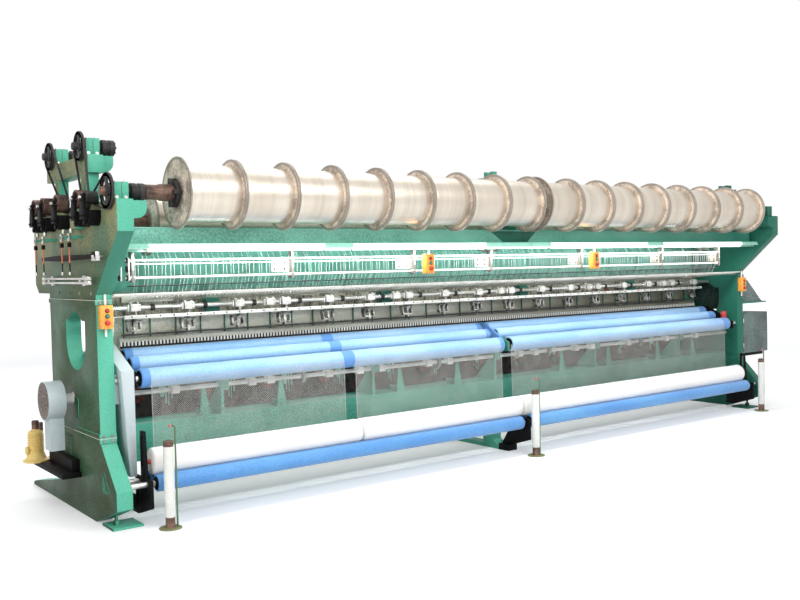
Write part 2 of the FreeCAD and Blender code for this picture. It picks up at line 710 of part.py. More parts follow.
def yarn_hanger(x):
    """Plate under the front girder with two open slots for the tension rods."""
    y, r = TENSION_Y, TENSION_R + SEAT_GAP
    front, back, low, top = y - 26, y + 34, TENSION_ZS[1] - 34, GIRDER_Z[0]
    profile = [(front, low), (back, low), (back, top), (y - 4, top)]
    for z in TENSION_ZS:
        profile += [(front, z + 30), (front, z + r), (y + r, z + r), (y + r, z - r), (front, z - r)]
    return side_plate(profile, (x - 12, x + 12))


def yarn_guides():
    """Hangers, both tension rods and the angle rail with the yarn eyelets."""
    x = (HANGER_XS[0] - 50, HANGER_XS[-1] + 40)
    rods = [bar_x(x, TENSION_Y, z, TENSION_R) for z in TENSION_ZS]
    front, back = RAIL_Y
    low, top = RAIL_Z
    rail = side_plate([(front, top - 12), (front, top), (back, top), (back, low), (back - 6, low),
                       (back - 6, top - 12)], (-FRAME_IN, FRAME_IN))
    return group([yarn_hanger(place) for place in HANGER_XS] + rods + [rail])


# ================================================================ knitting zone
def arm_xs():
    first = -(ARM_COUNT - 1) / 2 * ARM_PITCH
    return [first + i * ARM_PITCH for i in range(ARM_COUNT)]


def guide_arm(x):
    """Cast arm: split clamp on the shaft, nose under the tie rail, hooked shoe below."""
    y, z = GUIDE_AXIS
    depth, height = GUIDE_BAR
    front, shoe = y - 12, z - GUIDE_BAR_DROP
    heel, sole = front + depth + 14, shoe - height - 10
    inner, ledge = front + depth + SEAT_GAP, shoe - height - SEAT_GAP
    profile = [
        (y + 36, z - 30), (y + 60, z - 96), (heel, shoe + 10), (heel, sole), (front + 8, sole),
        (front + 8, ledge), (inner, ledge), (inner, shoe), (front, shoe), (front, shoe + 18),
        (y + 4, z - 112), (y - 40, z - 92), (y - 40, z - 30),
    ]
    clamp = block((x - CLAMP_HALF, x + CLAMP_HALF), (y - 40, y + 36), (z - 30, z + 36))
    return [side_plate(profile, (x - ARM_T / 2, x + ARM_T / 2)), clamp]


def guide_shaft():
    """Rocking shaft with its row of cast arms, and the rail that ties their noses."""
    y, z = GUIDE_AXIS
    reach = FRAME_IN + SHAFT_BURIED
    pieces = [bar_x((-reach, reach), y, z, GUIDE_SHAFT_R)]
    for x in arm_xs():
        pieces += guide_arm(x)
    rail = block((-KNIT_HALF, KNIT_HALF), (y - 40 - TIE_RAIL, y - 40), (z - 56 - TIE_RAIL, z - 56))
    return group([join(pieces), rail])


def guide_bar():
    """Bar with the yarn guides, shogged end to end in the shoes of the arms."""
    y, z = GUIDE_AXIS
    depth, height = GUIDE_BAR
    top = z - GUIDE_BAR_DROP - SEAT_GAP
    return block((-KNIT_HALF, KNIT_HALF), (y - 12, y - 12 + depth), (top - height + SEAT_GAP, top))


def needle_bar():
    """Row of needles behind the comb."""
    y0 = COMB_FRONT_Y + COMB_T + SEAT_GAP
    z = (COMB_BEAM_Z[1] + NEEDLE_CLEAR, COMB_Z[1] - 8)
    return block((-KNIT_HALF + 40, KNIT_HALF - 40), (y0, y0 + NEEDLE_T), z)


def needle_comb():
    """Knock-over comb with slots between its teeth, and the dark rail on its front."""
    pitch = 2 * (KNIT_HALF - 40) / COMB_TEETH
    low, top = COMB_Z
    root = top - COMB_SLOT
    points = [(-KNIT_HALF, low), (-KNIT_HALF, top)]
    for i in range(COMB_TEETH):
        x = -KNIT_HALF + 40 + (i + 0.5) * pitch
        points += [(x - pitch / 4, top), (x - pitch / 4, root), (x + pitch / 4, root), (x + pitch / 4, top)]
    points += [(KNIT_HALF, top), (KNIT_HALF, low)]
    comb = front_plate(points, (COMB_FRONT_Y, COMB_FRONT_Y + COMB_T))
    rail = block((-KNIT_HALF, KNIT_HALF), (COMB_FRONT_Y - 24, COMB_FRONT_Y), COMB_RAIL_Z)
    return group([comb, rail])


def comb_beam():
    """Beam that carries the comb, with pale back panels on its rear edge."""
    front = COMB_FRONT_Y + COMB_T
    back = front + COMB_BEAM_D
    beam = block((-FRAME_IN, FRAME_IN), (front, back), COMB_BEAM_Z)
    low, top = COMB_BEAM_Z[1], BACK_PANEL_TOP
    slope = [(back - 40, low), (back - 100, top), (back - 94, top), (back - 34, low)]
    panel = side_plate(slope, (-KNIT_HALF, KNIT_HALF))
    return group([beam, panel])


# ================================================================ rollers
def long_roller(spec):
    """Two covered halves with their middle neck and end journals."""
    y, z, r = spec
    gap = ROLLER_GAP / 2
    end = FRAME_IN - JOURNAL_END
    covers = [bar_x(x, y, z, r, ROLLER_SIDES) for x in ((-ROLLER_HALF, -gap), (gap, ROLLER_HALF))]
    necks = [(-end, -ROLLER_HALF), (-gap, gap), (ROLLER_HALF, end)]
    return group(covers + [bar_x(x, y, z, ROLLER_JOURNAL_R) for x in necks])


def journal_bores(plate, x, rollers):
    for y, z, _ in rollers:
        plate = plate.cut(bore_x(x, y, z, ROLLER_JOURNAL_R))
    return plate


def roller_arm(x):
    """Inclined black arm with the bores of the three take-down rollers."""
    profile = [(-672, 1000), (-672, 1080), (-560, 1130), (-330, 1262), (-235, 1262), (-200, 1225),
               (-200, 1150), (-330, 1080), (-600, 985)]
    return journal_bores(side_plate(profile, x), x, (ROLLER_A, ROLLER_B, ROLLER_C))


def batch_stand(x, top):
    """Plate for the batching rollers; its uprights guide the roll between them."""
    profile = [(-950, 140), (-950, 340), (-860, 345), (-830, top), (-770, top), (-770, 345),
               (-655, 345), (-655, 200), (-560, 60), (-700, 60)]
    return journal_bores(side_plate(profile, x), x, (BATCH_FRONT, BATCH_REAR))


def roller_stands():
    """Arms and stands at both ends and in the middle of the machine."""
    x = (-STAND_X - STAND_T / 2, -STAND_X + STAND_T / 2)
    slot = block(x, (-803 - CORE_R, -803 + CORE_R), (430, 660))
    stand = join([batch_stand(x, 690).cut(slot), block((-FRAME_IN, x[0]), (-660, -560), (100, 200))])
    arm = join([roller_arm(x), block((-FRAME_IN, x[0]), (-290, -230), (1120, 1150))])
    middle = (-STAND_T / 2, STAND_T / 2)
    foot = block((-60, 60), (-700, -560), (0, 60))
    hanger = block(middle, (-230, COMB_FRONT_Y + COMB_T), (1110, 1150))
    beacon = bar_z(STAND_X, BEACON_Y, BEACON_Z, BEACON_R)
    return group([arm, join([mirrored(arm), beacon]), stand, mirrored(stand),
                  join([roller_arm(middle), hanger]), join([batch_stand(middle, 346), foot])])


def gear_cover():
    """Cover over the take-down gears, slanting in towards its foot."""
    x0, x1 = -FRAME_IN + 19, -STAND_X - STAND_T / 2 - SEAT_GAP
    low, top = 340.0, 1310.0
    behind = (LOWER_FRONT_GIRDER_Y[0] - 10, LOWER_GIRDER_Z[1])
    side = side_plate([(-700, low), (-700, 1130), (-310, top), (-310, 1050), behind, (-560, low)], (x0, x1))
    front = front_plate([(x1 - 52, low), (x1, low), (x1, top), (x0, top)], (-700, -310))
    spacer = block((-FRAME_IN, x0 + 30), (-600, -400), (880, 1100))
    cover = join([side.common(front), spacer])
    x = (-FRAME_IN, x1)
    for y, z, _ in (ROLLER_B, ROLLER_C):
        cover = cover.cut(bore_x(x, y, z, ROLLER_JOURNAL_R + SEAT_GAP))
    return cover.cut(bore_x(x, CAM_AXIS[0], CAM_AXIS[1], CAM_SHAFT_R))


def net_roll_axis():
    """Where a roll lies when it rests on the two batching rollers."""
    y = (BATCH_FRONT[0] + BATCH_REAR[0]) / 2
    reach = NET_ROLL_R + BATCH_FRONT[2] + SEAT_GAP
    rise = math.sqrt(reach ** 2 - ((BATCH_REAR[0] - BATCH_FRONT[0]) / 2) ** 2)
    return y, BATCH_FRONT[1] + rise


def net_rolls():
    """Three wound rolls of netting on one core bar."""
    y, z = net_roll_axis()
    rolls = [bar_x(span, y, z, NET_ROLL_R, ROLLER_SIDES) for span in ROLL_SPANS]
    cores = [(ROLL_SPANS[0][0] - CORE_PROUD, ROLL_SPANS[0][0])]
    cores += [(a[1], b[0]) for a, b in zip(ROLL_SPANS, ROLL_SPANS[1:])]
    cores += [(ROLL_SPANS[-1][1], ROLL_SPANS[-1][1] + CORE_PROUD)]
    return group(rolls + [bar_x(span, y, z, CORE_R) for span in cores])


def rectangle(x0, x1, s0, s1):
    corners = [V(x0, s0, 0), V(x1, s0, 0), V(x1, s1, 0), V(x0, s1, 0)]
    return Part.makePolygon(corners + corners[:1])


def net_panel(x0, x1, columns):
    """Flat net between roller and roll: one face with its gaps, drawn out to its thickness."""
    y0, z0, r0 = ROLLER_C
    y1, z1 = net_roll_axis()
    start = V(0, y0 - r0 - SEAT_GAP - NET_T, z0)
    run = V(0, y1 + NET_ROLL_R + SEAT_GAP, z1) - start
    pitch_x = (x1 - x0 - NET_BORDER) / columns
    pitch_s = (run.Length - NET_BORDER) / NET_ROWS
    wires = [rectangle(x0, x1, 0, run.Length)]
    for i in range(columns):
        for j in range(NET_ROWS):
            a, s = x0 + NET_BORDER + i * pitch_x, NET_BORDER + j * pitch_s
            wires.append(rectangle(a, a + pitch_x - NET_BORDER, s, s + pitch_s - NET_BORDER))
    net = Part.Face(wires).extrude(V(0, 0, NET_T))
    net.rotate(V(0, 0, 0), V(1, 0, 0), math.degrees(math.atan2(run.z, run.y)))
    net.translate(start)
    return net


def net_panels():
    return group([net_panel(*panel) for panel in NET_PANELS])


# ================================================================ main drive
def cam_shaft():
    """Long shaft with the eccentrics that lift the needle bar."""
    y, z = CAM_AXIS
    reach = FRAME_IN + SHAFT_BURIED
    shaft = bar_x((-reach, reach), y, z, CAM_SHAFT_R)
    cams = [bar_x((x - 16, x + 16), y + CAM_THROW, z, CAM_R, SMALL_SIDES) for x in CAM_XS]
    return join([shaft] + cams)


def drive_platform():
    """Bracket on the outer side of the left base, with the belt guard above it."""
    x1 = -FRAME_OUT
    y, z = GUARD_AXIS
    plate = block((x1 - 146, x1), (-190, 620), PLATFORM_Z)
    rib = block((x1 - 60, x1), (-150, 430), (PLATFORM_Z[1], 420))
    drum = bar_x(GUARD_X, y, z, GUARD_R, LARGE_SIDES)
    leg = block((GUARD_X[0] + 26, GUARD_X[1]), (y - 70, y + 70), (500, z))
    neck = bar_x((GUARD_X[1], x1), y, z, 40)
    return group([join([plate, rib]), join([drum, leg, neck])])


def gear_reducer():
    """Yellow reducer: round foot, finned body, neck and breather cap."""
    x, y = REDUCER_AT
    foot = PLATFORM_Z[1]
    steps = [(0, 22, REDUCER_FLANGE_R), (22, 66, 82), (66, 236, 62), (236, 268, 50), (268, 340, 30)]
    body = [bar_z(x, y, (foot + a, foot + b), r, SMALL_SIDES) for a, b, r in steps]
    fins = [block((x - 66, x + 66), (y - 50, y + 50), (foot + s, foot + s + 14)) for s in (150, 200)]
    side = bar_x((x - 80, x - 40), y, foot + 96, 30)
    return join(body + fins + [side])


# ================================================================ controls
def button_places(place):
    """Name, middle and radius of each button's bore on the front of a box."""
    x, y, z = BOX_PLACES[place]
    return [(name, V(x, y - BOX_D, z + up), r) for name, (up, r) in BUTTONS.items()]


def control_box(place):
    """Control box with bevelled corners and bores for its three buttons."""
    x, y, z = BOX_PLACES[place]
    half, bevel = BOX_W / 2, 8.0
    corners = [V(x - half, y, 0), V(x - half, y - BOX_D + bevel, 0), V(x - half + bevel, y - BOX_D, 0),
               V(x + half - bevel, y - BOX_D, 0), V(x + half, y - BOX_D + bevel, 0), V(x + half, y, 0)]
    body = outline([corner + V(0, 0, z - BOX_H / 2) for corner in corners], V(0, 0, BOX_H))
    for _, at, r in button_places(place):
        depth = (at.y, at.y + BUTTON_DEPTH + BUTTON_TRAVEL + 1)
        body = body.cut(bar_y(at.x, depth, at.z, r + SEAT_GAP))
    return body


def control_boxes():
    """Four boxes with their conduits; the middle two hang under the lamp trough."""
    pieces = [control_box(place) for place in BOX_PLACES]
    lip = UPPER_FRONT_GIRDER_Y[0] - 121
    for place, (x, y, z) in BOX_PLACES.items():
        low, top = z - BOX_H / 2, z + BOX_H / 2
        if place.startswith("mid"):
            pieces.append(bar_z(x, lip, (top, LAMP_Z + 4), CONDUIT_R))
        else:
            pieces.append(bar_z(x, y - 22, (top, top + CONDUIT_UP), CONDUIT_R))
            pieces.append(bar_z(x, y - 22, (low - CONDUIT_DOWN, low), CONDUIT_R))
    return group(pieces)


def button(place, wanted):
    """Round push button, or the mushroom button on its stem."""
    name, at, r = [spot for spot in button_places(place) if spot[0] == wanted][0]
    inside = at.y + BUTTON_DEPTH
    if name != "stop":
        return bar_y(at.x, (at.y - BUTTON_PROUD, inside), at.z, r)
    cap = bar_y(at.x, (at.y - MUSHROOM_PROUD, at.y - MUSHROOM_PROUD + MUSHROOM_T), at.z, MUSHROOM_R)
    return join([cap, bar_y(at.x, (at.y - MUSHROOM_PROUD + MUSHROOM_T, inside), at.z, r)])


# ================================================================ right end
def cabinet_body():
    """Switch cabinet open at the front, with its console, tray, fin and rails."""
    wall = CABINET_WALL
    shell = block(CABINET_X, CABINET_Y, CABINET_Z)
    room = block((CABINET_X[0] + wall, CABINET_X[1] - wall), (CABINET_Y[0], CABINET_Y[1] - wall),
                 (CABINET_Z[0] + wall, CABINET_Z[1] - wall))
    inner, outer = CONSOLE_X
    under, over = TRAY_Z
    front, back = CABINET_Y
    console = front_plate([(inner, over), (outer, over), (inner + 136, CONSOLE_TOP), (inner, CONSOLE_TOP)],
                          (front + 5, back))
    tray = block(TRAY_X, (front - 15, back + 10), TRAY_Z)
    low = CABINET_Z[1]
    fin = front_plate([(inner, low), (outer - 130, low), (outer + 30, under), (inner, under)],
                      (back - 10, back))
    z = (CABINET_Z[0] - 42, CABINET_Z[0])
    rails = [block((CABINET_X[0], outer + 30), (y, y + 50), z) for y in (front + 15, back - 60)]
    return group([shell.cut(room), console, tray, fin] + rails)


def cabinet_door():
    """Door of the switch cabinet, hinged at the side frame, with the lock near its free edge."""
    x0, x1 = CABINET_X[0] + 3, CABINET_X[1]
    y = CABINET_Y[0] - SEAT_GAP
    door = block((x0, x1), (y - DOOR_T, y), CABINET_Z)
    z = CABINET_Z[0] + 38
    knob = block((x1 - 155, x1 - 135), (y - DOOR_T - 18, y - DOOR_T), (z, z + 40))
    return join([door, knob])


def guard_posts():
    """Three free-standing posts: disc, sleeve and thin rod with a bent tip."""
    pieces = []
    r, foot = POST_DISC
    y = (POST_Y - POST_ROD / 2, POST_Y + POST_ROD / 2)
    for x in POST_XS:
        disc = bar_z(x, POST_Y, (0, foot), r, SMALL_SIDES)
        sleeve = bar_z(x, POST_Y, (foot, POST_SLEEVE_TOP), POST_SLEEVE_R)
        edge = x + POST_SLEEVE_R + 10
        rod = block((edge, edge + POST_ROD), y, (foot, POST_ROD_TOP))
        tip = block((edge - POST_SLEEVE_R, edge + POST_ROD), y, (POST_ROD_TOP - POST_ROD, POST_ROD_TOP))
        pieces += [disc, sleeve, join([rod, tip])]
    return group(pieces)


# ================================================================ output
def nodes():
    """Every sub-part by its node name."""
    parts = {
        "base_castings": base_castings(),
        "middle_castings": middle_castings(),
        "head_castings": head_castings(),
        "machine_feet": machine_feet(),
        "upper_girders": upper_girders(),
        "lower_girders": lower_girders(),
        "center_pedestal": center_pedestal(),
        "upper_carriers": upper_carriers(),
        "beam_bearings": beam_bearings(),
        "letoff_gearboxes": letoff_gearboxes(),
        "drive_belts": drive_belts(),
        "lamps": lamps(),
        "yarn_guides": yarn_guides(),
        "comb_beam": comb_beam(),
        "needle_comb": needle_comb(),
        "roller_stands": roller_stands(),
        "gear_cover": gear_cover(),
        "drive_platform": drive_platform(),
        "gear_reducer": gear_reducer(),
        "control_boxes": control_boxes(),
        "cabinet_body": cabinet_body(),
        "net_panels": net_panels(),
        "guard_posts": guard_posts(),
        "cabinet_door": cabinet_door(),
        "front_beam_shaft": front_beam_shaft(),
        "front_flanges": front_flanges(),
        "front_yarn": front_yarn(),
        "rear_spools": rear_spools(),
        "rear_yarn": rear_yarn(),
        "upper_front_stub": upper_stub(UPPER_FRONT_AXIS),
        "upper_rear_stub": upper_stub(UPPER_REAR_AXIS),
        "letoff_pulley": letoff_drum(PULLEY_Y, PULLEY_R),
        "pattern_lever": pattern_lever(),
        "push_rods": push_rods(),
        "guide_shaft": guide_shaft(),
        "guide_bar": guide_bar(),
        "needle_bar": needle_bar(),
        "cam_shaft": cam_shaft(),
        "takedown_roller_a": long_roller(ROLLER_A),
        "takedown_roller_b": long_roller(ROLLER_B),
        "takedown_roller_c": long_roller(ROLLER_C),
        "batch_roller_front": long_roller(BATCH_FRONT),
        "batch_roller_rear": long_roller(BATCH_REAR),
        "net_rolls": net_rolls(),
    }
    for number, y in enumerate(DRUM_YS, start=1):
        parts[f"letoff_drum_{number}"] = letoff_drum(y)
    for place in BOX_PLACES:
        for name in BUTTONS:
            parts[f"button_{place}_{name}"] = button(place, name)
    return parts


def main():
    os.makedirs("parts", exist_ok=True)
    for name, shape in nodes().items():
        shape.exportStep(f"parts/{name}.step")


main()
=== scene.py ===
"""Looks of the wide warp-knitting machine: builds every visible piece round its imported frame."""

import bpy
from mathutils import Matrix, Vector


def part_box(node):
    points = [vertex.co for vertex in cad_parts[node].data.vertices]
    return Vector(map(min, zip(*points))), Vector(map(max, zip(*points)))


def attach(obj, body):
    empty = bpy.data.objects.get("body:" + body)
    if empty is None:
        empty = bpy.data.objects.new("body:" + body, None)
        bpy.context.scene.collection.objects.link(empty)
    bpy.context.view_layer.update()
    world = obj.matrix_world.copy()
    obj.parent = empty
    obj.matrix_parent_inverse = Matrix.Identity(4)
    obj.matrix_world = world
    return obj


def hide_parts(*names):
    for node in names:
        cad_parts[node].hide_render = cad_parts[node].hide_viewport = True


bl_info = {
    "name": "Warp-knitting machine for netting",
    "version": (1, 0, 0),
    "blender": (4, 5, 0),
    "location": "3D View > Sidebar > Knitting machine",
    "description": "Builds the castings, spools, guide arms, rollers, nets and controls of a wide knitting machine",
    "category": "Object",
}

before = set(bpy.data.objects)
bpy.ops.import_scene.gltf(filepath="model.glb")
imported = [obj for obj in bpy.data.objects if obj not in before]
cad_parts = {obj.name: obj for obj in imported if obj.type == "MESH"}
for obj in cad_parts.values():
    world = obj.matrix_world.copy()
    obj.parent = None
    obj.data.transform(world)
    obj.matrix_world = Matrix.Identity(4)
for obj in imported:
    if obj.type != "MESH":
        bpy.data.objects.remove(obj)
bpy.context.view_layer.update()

import math

import bmesh
import bpy
from bpy.props import FloatProperty, FloatVectorProperty, IntProperty, PointerProperty
from mathutils import Matrix, Vector

MM = 0.001

# Places that the pieces share, in millimetres: (Y, Z) of each axis, with the radius of a roller, and X along it.
FRONT_AXIS = (-1000, 2430)
REAR_AXIS = (-400, 2250)
UPPER_FRONT_AXIS = (-447, 2800)
UPPER_REAR_AXIS = (286, 2800)
GUIDE_AXIS = (-220, 1577)
CAM_AXIS = (-470, 930)
ROLLER_A = (-279, 1205, 60)
ROLLER_B = (-414, 1148, 60)
ROLLER_C = (-608, 1057, 75)
BATCH_FRONT = (-878, 309, 65)
BATCH_REAR = (-720, 309, 65)
ROLL_AXIS = (-799, 456.5)
ROLL_SPANS = ((-3792, -1930), (-1918, -20), (-8, 3750))
NET_SPANS = ((-3720, -1975), (-1860, -115), (15, 3640))
NET_TOP = (-685, 1057)
NET_FOOT = (-696.6, 457)
FRAME_IN = 3984
FRAME_OUT = 4104
CASTING_FRONT_Y = -654
JOINT_ZS = (640, 1660)           # where two castings of a side frame meet
HALF_ROW = 3612                  # middle of the row to its last flange
MIDDLE_X = 44
PITCH = 446                      # one spool, flange to flange
SHAFT_R = 54
JOURNAL_R = 30
JOURNAL_X = 3964                 # where a shaft steps down to its journal
COUPLING_R = 62
WHEEL_XS = (-4132, -4112)
WHEEL_R = 125
UPPER_WHEEL_R = 108
PULLEY_R = 48
DRUM_R = 70
PULLEY_Y = -760
DRUM_YS = (-560, -90, 270, 500)
DRUM_Z = 2400
ARM_PITCH = 457
ARM_COUNT = 17
ARM_START = -(ARM_COUNT - 1) / 2 * ARM_PITCH
KNIT_HALF = 3760                 # half the length of the comb and of the guide bar
CROSS_SHAFT_HALF = 4043          # half the length of the guide shaft and of the cam shaft
ROLLER_HALF = 3784
ROLLER_GAP = 55                  # half the gap between the two covers of a roller
ROD_R = 9
TENSION_Y = -760
TENSION_ZS = (1948, 1818)
HANGER_XS = (-3870, -2520, -1255, -315, 970, 2315, 3400)
LAMP_XS = (-3055, -1270, 1100, 2885)
POST_XS = (-3748, -9, 3871)
POST_Y = -1035
RED_PLACES = ((274, 1491), (808, 1460), (1395, 1482), (2239, 1510), (3010, 1509))
BOX_PLACES = {
    "left": (-4044, -645, 1538),
    "mid_left": (-1215, -905, 1878),
    "mid_right": (985, -905, 1878),
    "right": (4044, -645, 1538),
}
EDGE_ANGLE = math.radians(38.0)  # edges sharper than this are bevelled and shown sharp


# ------------------------------------------------------------------ sizes a user would change
def measure(label, text, size):
    return FloatProperty(name=label, description=text, default=size, unit="LENGTH")


def colour(label, text, shade):
    return FloatVectorProperty(name=label, description=text, default=shade, subtype="COLOR")


class SpoolSizes(bpy.types.PropertyGroup):
    flange: measure("Flange radius", "Radius of a spool's flange", 0.2655)
    yarn: measure("Yarn radius", "Radius of the wound warp", 0.212)
    count: IntProperty(name="Spools in a half", description="Spools on each side of the middle", default=8)


class RollerSizes(bpy.types.PropertyGroup):
    end_rounding: measure("End rounding", "Rounding of a roller cover's end", 0.012)
    covering: colour("Take-down colour", "Colour of the take-down rollers", (0.215, 0.42, 0.71))
    batching: colour("Batching colour", "Colour of the batching rollers", (0.075, 0.255, 0.60))


class NetSizes(bpy.types.PropertyGroup):
    mesh_width: measure("Mesh width", "Width of one diamond of the net", 0.009)
    mesh_height: measure("Mesh height", "Height of one diamond of the net", 0.015)
    thread: measure("Thread width", "Width of a thread of the net", 0.0021)


class PaintColours(bpy.types.PropertyGroup):
    frame_green: colour("Frame green", "Enamel of the side frames", (0.105, 0.445, 0.31))
    girder_green: colour("Girder green", "Enamel of the cross girders", (0.085, 0.47, 0.335))
    control_orange: colour("Control orange", "Plastic of the control boxes", (0.88, 0.37, 0.050))
    reducer_yellow: colour("Reducer yellow", "Enamel of the gear reducer", (0.92, 0.68, 0.24))


# ------------------------------------------------------------------ shader expressions
class Wire:
    """A shader value that takes part in Python expressions."""

    def __init__(self, tree, socket):
        self.tree = tree
        self.socket = socket

    def _math(self, operation, first, second):
        node = self.tree.nodes.new("ShaderNodeMath")
        node.operation = operation
        for place, value in enumerate((first, second)):
            if isinstance(value, Wire):
                self.tree.links.new(value.socket, node.inputs[place])
            elif value is not None:
                node.inputs[place].default_value = value
        return Wire(self.tree, node.outputs[0])

    def __add__(self, other):
        return self._math("ADD", self, other)

    def __sub__(self, other):
        return self._math("SUBTRACT", self, other)

    def __mul__(self, other):
        return self._math("MULTIPLY", self, other)

    __radd__ = __add__
    __rmul__ = __mul__

    def wave(self):
        return self._math("SINE", self, None)


class Finish:
    """A material with one Principled shader, built from expressions."""

    def __init__(self, name, **plain):
        self.material = bpy.data.materials.new(name)
        self.material.use_nodes = True
        self.tree = self.material.node_tree
        self.shader = self.tree.nodes["Principled BSDF"]
        for socket, value in plain.items():
            self.shader.inputs[socket.replace("_", " ")].default_value = value
        self.place = self.node("ShaderNodeTexCoord").outputs["Object"]

    def node(self, kind, settings=None, sockets=None):
        node = self.tree.nodes.new(kind)
        for key, value in (settings or {}).items():
            setattr(node, key, value)
        for key, value in (sockets or {}).items():
            if isinstance(value, Wire):
                value = value.socket
            if isinstance(value, bpy.types.NodeSocket):
                self.tree.links.new(value, node.inputs[key])
            else:
                node.inputs[key].default_value = value
        return node

    def noise(self, scale, detail=4.0, stretch=(1, 1, 1)):
        spot = self.node("ShaderNodeMapping", None, {"Vector": self.place, "Scale": stretch}).outputs[0]
        node = self.node("ShaderNodeTexNoise", None, {"Vector": spot, "Scale": scale, "Detail": detail})
        return Wire(self.tree, node.outputs[0])

    def part(self, vector, letter):
        return Wire(self.tree, self.node("ShaderNodeSeparateXYZ", None, {0: vector}).outputs[letter])

    def axis(self, letter):
        return self.part(self.place, letter)

    def facing(self, letter):
        return self.part(self.node("ShaderNodeNewGeometry").outputs["Normal"], letter)

    def between(self, value, low, high, start=0.0, end=1.0):
        node = self.node("ShaderNodeMapRange", {"clamp": True}, {0: value, 1: low, 2: high, 3: start, 4: end})
        return Wire(self.tree, node.outputs[0])

    def mix(self, share, first, second):
        ends = {key: (*value, 1) if isinstance(value, tuple) else value for key, value in ((6, first), (7, second))}
        return self.node("ShaderNodeMix", {"data_type": "RGBA"}, {0: share, **ends}).outputs[2]

    def feed(self, socket, value):
        self.tree.links.new(value.socket if isinstance(value, Wire) else value, self.shader.inputs[socket])

    def coat(self, shade, rough=None, bump=None):
        """Feeds a colour, a roughness as (pattern, least, most) and a bump as (height, strength, depth)."""
        self.feed("Base Color", shade)
        if rough:
            self.feed("Roughness", self.between(rough[0], 0.3, 0.7, *rough[1:]))
        if bump:
            sockets = dict(zip(("Height", "Strength", "Distance"), bump))
            self.feed("Normal", self.node("ShaderNodeBump", None, sockets).outputs[0])
        return self.material


def dimmed(shade, share):
    return tuple(share * value for value in shade)


def enamel(name, shade, grime, roughness, gloss=0.35):
    """Machine enamel: cloudy colour, dust in broad patches, orange peel."""
    made = Finish(name, Specular_IOR_Level=gloss)
    cloud = made.noise(1.7, 6.0)
    speck = made.noise(55.0, 3.0)
    dusty = made.between(cloud * 0.75 + speck * 0.25, 0.46, 0.66)
    dusted = made.mix(dusty, shade, tuple(0.55 * a + 0.45 * b for a, b in zip(shade, grime)))
    drips = made.between(made.noise(6.0, 5.0, (1, 1, 0.25)), 0.58, 0.72, 0.0, 0.55)
    return made.coat(made.mix(drips, dusted, grime), (cloud, roughness, roughness + 0.18), (speck, 0.12, 0.0012))


def side_enamel(name, shade, far, side, pale_side, roughness):
    """Enamel of the side frames: the outer sides get a mottled darker olive by which way they face, downward faces
    a darker green and the right end a deeper green than the left, all painted shade; the olive is paler khaki
    higher up and darker towards the bottom.
    """
    made = Finish(name, Specular_IOR_Level=0.22)
    cloud = made.noise(2.2, 7.0)
    speck = made.noise(70.0, 2.0)
    # Outer sides of the frames, found by which way a face points: they get the mottled darker olive of painted
    # shade.
    outward = made.between(made.facing("X") * made.axis("X"), 1.0, 3.5)
    # Faces that point downwards take a darker copy of the green: painted shade.
    under = made.between(made.facing("Z"), -0.5, -0.2, 0.75, 0.0)
    # Towards the right end the green fades to the darker far colour: painted shade, as the light falls from the
    # left.
    clean = made.mix(made.between(made.axis("X"), 1.0, 3.9, 0.0, 0.9), shade, far)
    high = made.between(made.axis("Z") + cloud * 0.5, 1.95, 2.35) * made.between(cloud, 0.36, 0.56, 0.3, 1.0)
    outer_side_shade = outward * made.between(cloud, 0.3, 0.62, 0.82, 1.0)
    clean = made.mix(under, clean, dimmed(shade, 0.36))
    coat = made.mix(outer_side_shade, clean, made.mix(high, side, pale_side))
    dark = dimmed(side, 0.35)
    low = made.between(made.axis("Z"), 0.1, 1.3, 0.75, 0.0) * outward
    coat = made.mix(low * made.between(speck, 0.35, 0.6), coat, dark)
    coat = made.mix(made.between(speck, 0.52, 0.62, 0.0, 0.45) * (0.25 + outward * 0.75), coat, dark)
    return made.coat(coat, (cloud, roughness, roughness + 0.2), (speck, 0.15, 0.0012))


def girder_enamel(name, near, far, grime):
    """Enamel of the long girders with patches of dirt: lighter towards the left end as painted light, darker
    towards the right end as painted shade.
    """
    made = Finish(name, Specular_IOR_Level=0.45)
    cloud = made.noise(1.9, 6.0, (0.5, 1, 1))
    speck = made.noise(60.0, 3.0)
    # Painted light and shade: the colour runs from near at the left end to far, or a darker copy of near, at the
    # right end.
    shade = made.mix(made.between(made.axis("X") + cloud * 2.0, -3.6, 3.4), near, far or dimmed(near, 0.42))
    dirty = made.between(cloud * 0.6 + speck * 0.4, 0.46, 0.64, 0.0, 0.7)
    return made.coat(made.mix(dirty, shade, grime), (cloud, 0.3, 0.5), (speck, 0.12, 0.0012))


def layered_sheet(name, upper, lower, fleck_colour, edge, outside):
    """Sheet that is clean above an edge height and dirty, flecked and shaded below it."""
    made = Finish(name, Specular_IOR_Level=0.4, Roughness=0.5)
    cloud = made.noise(5.0, 6.0, (1.4, 1, 0.8))
    fleck = made.noise(34.0, 3.0, (1, 1, 0.4))
    dirty = made.mix(made.between(fleck * 0.6 + cloud * 0.4, 0.44, 0.6), lower, fleck_colour)
    clean = made.mix(made.between(cloud, 0.4, 0.66, 0.0, 0.7), upper, dimmed(upper, 0.6))
    inner = made.mix(made.between(made.axis("Z") + cloud * 0.04, edge - 0.02, edge + 0.04), dirty, clean)
    worn = made.between(fleck * 0.5 + cloud * 0.5, 0.42, 0.62, 0.0, 0.7)
    outer = made.mix(worn, outside, dimmed(outside, 0.5))
    # Faces towards the front take the lighter inner greens and faces towards the back take the darker outside
    # green: painted light on the front face, where the lamp tubes shine.
    return made.coat(made.mix(made.between(made.facing("Y"), 0.3, 0.7), inner, outer), bump=(fleck, 0.15, 0.0012))


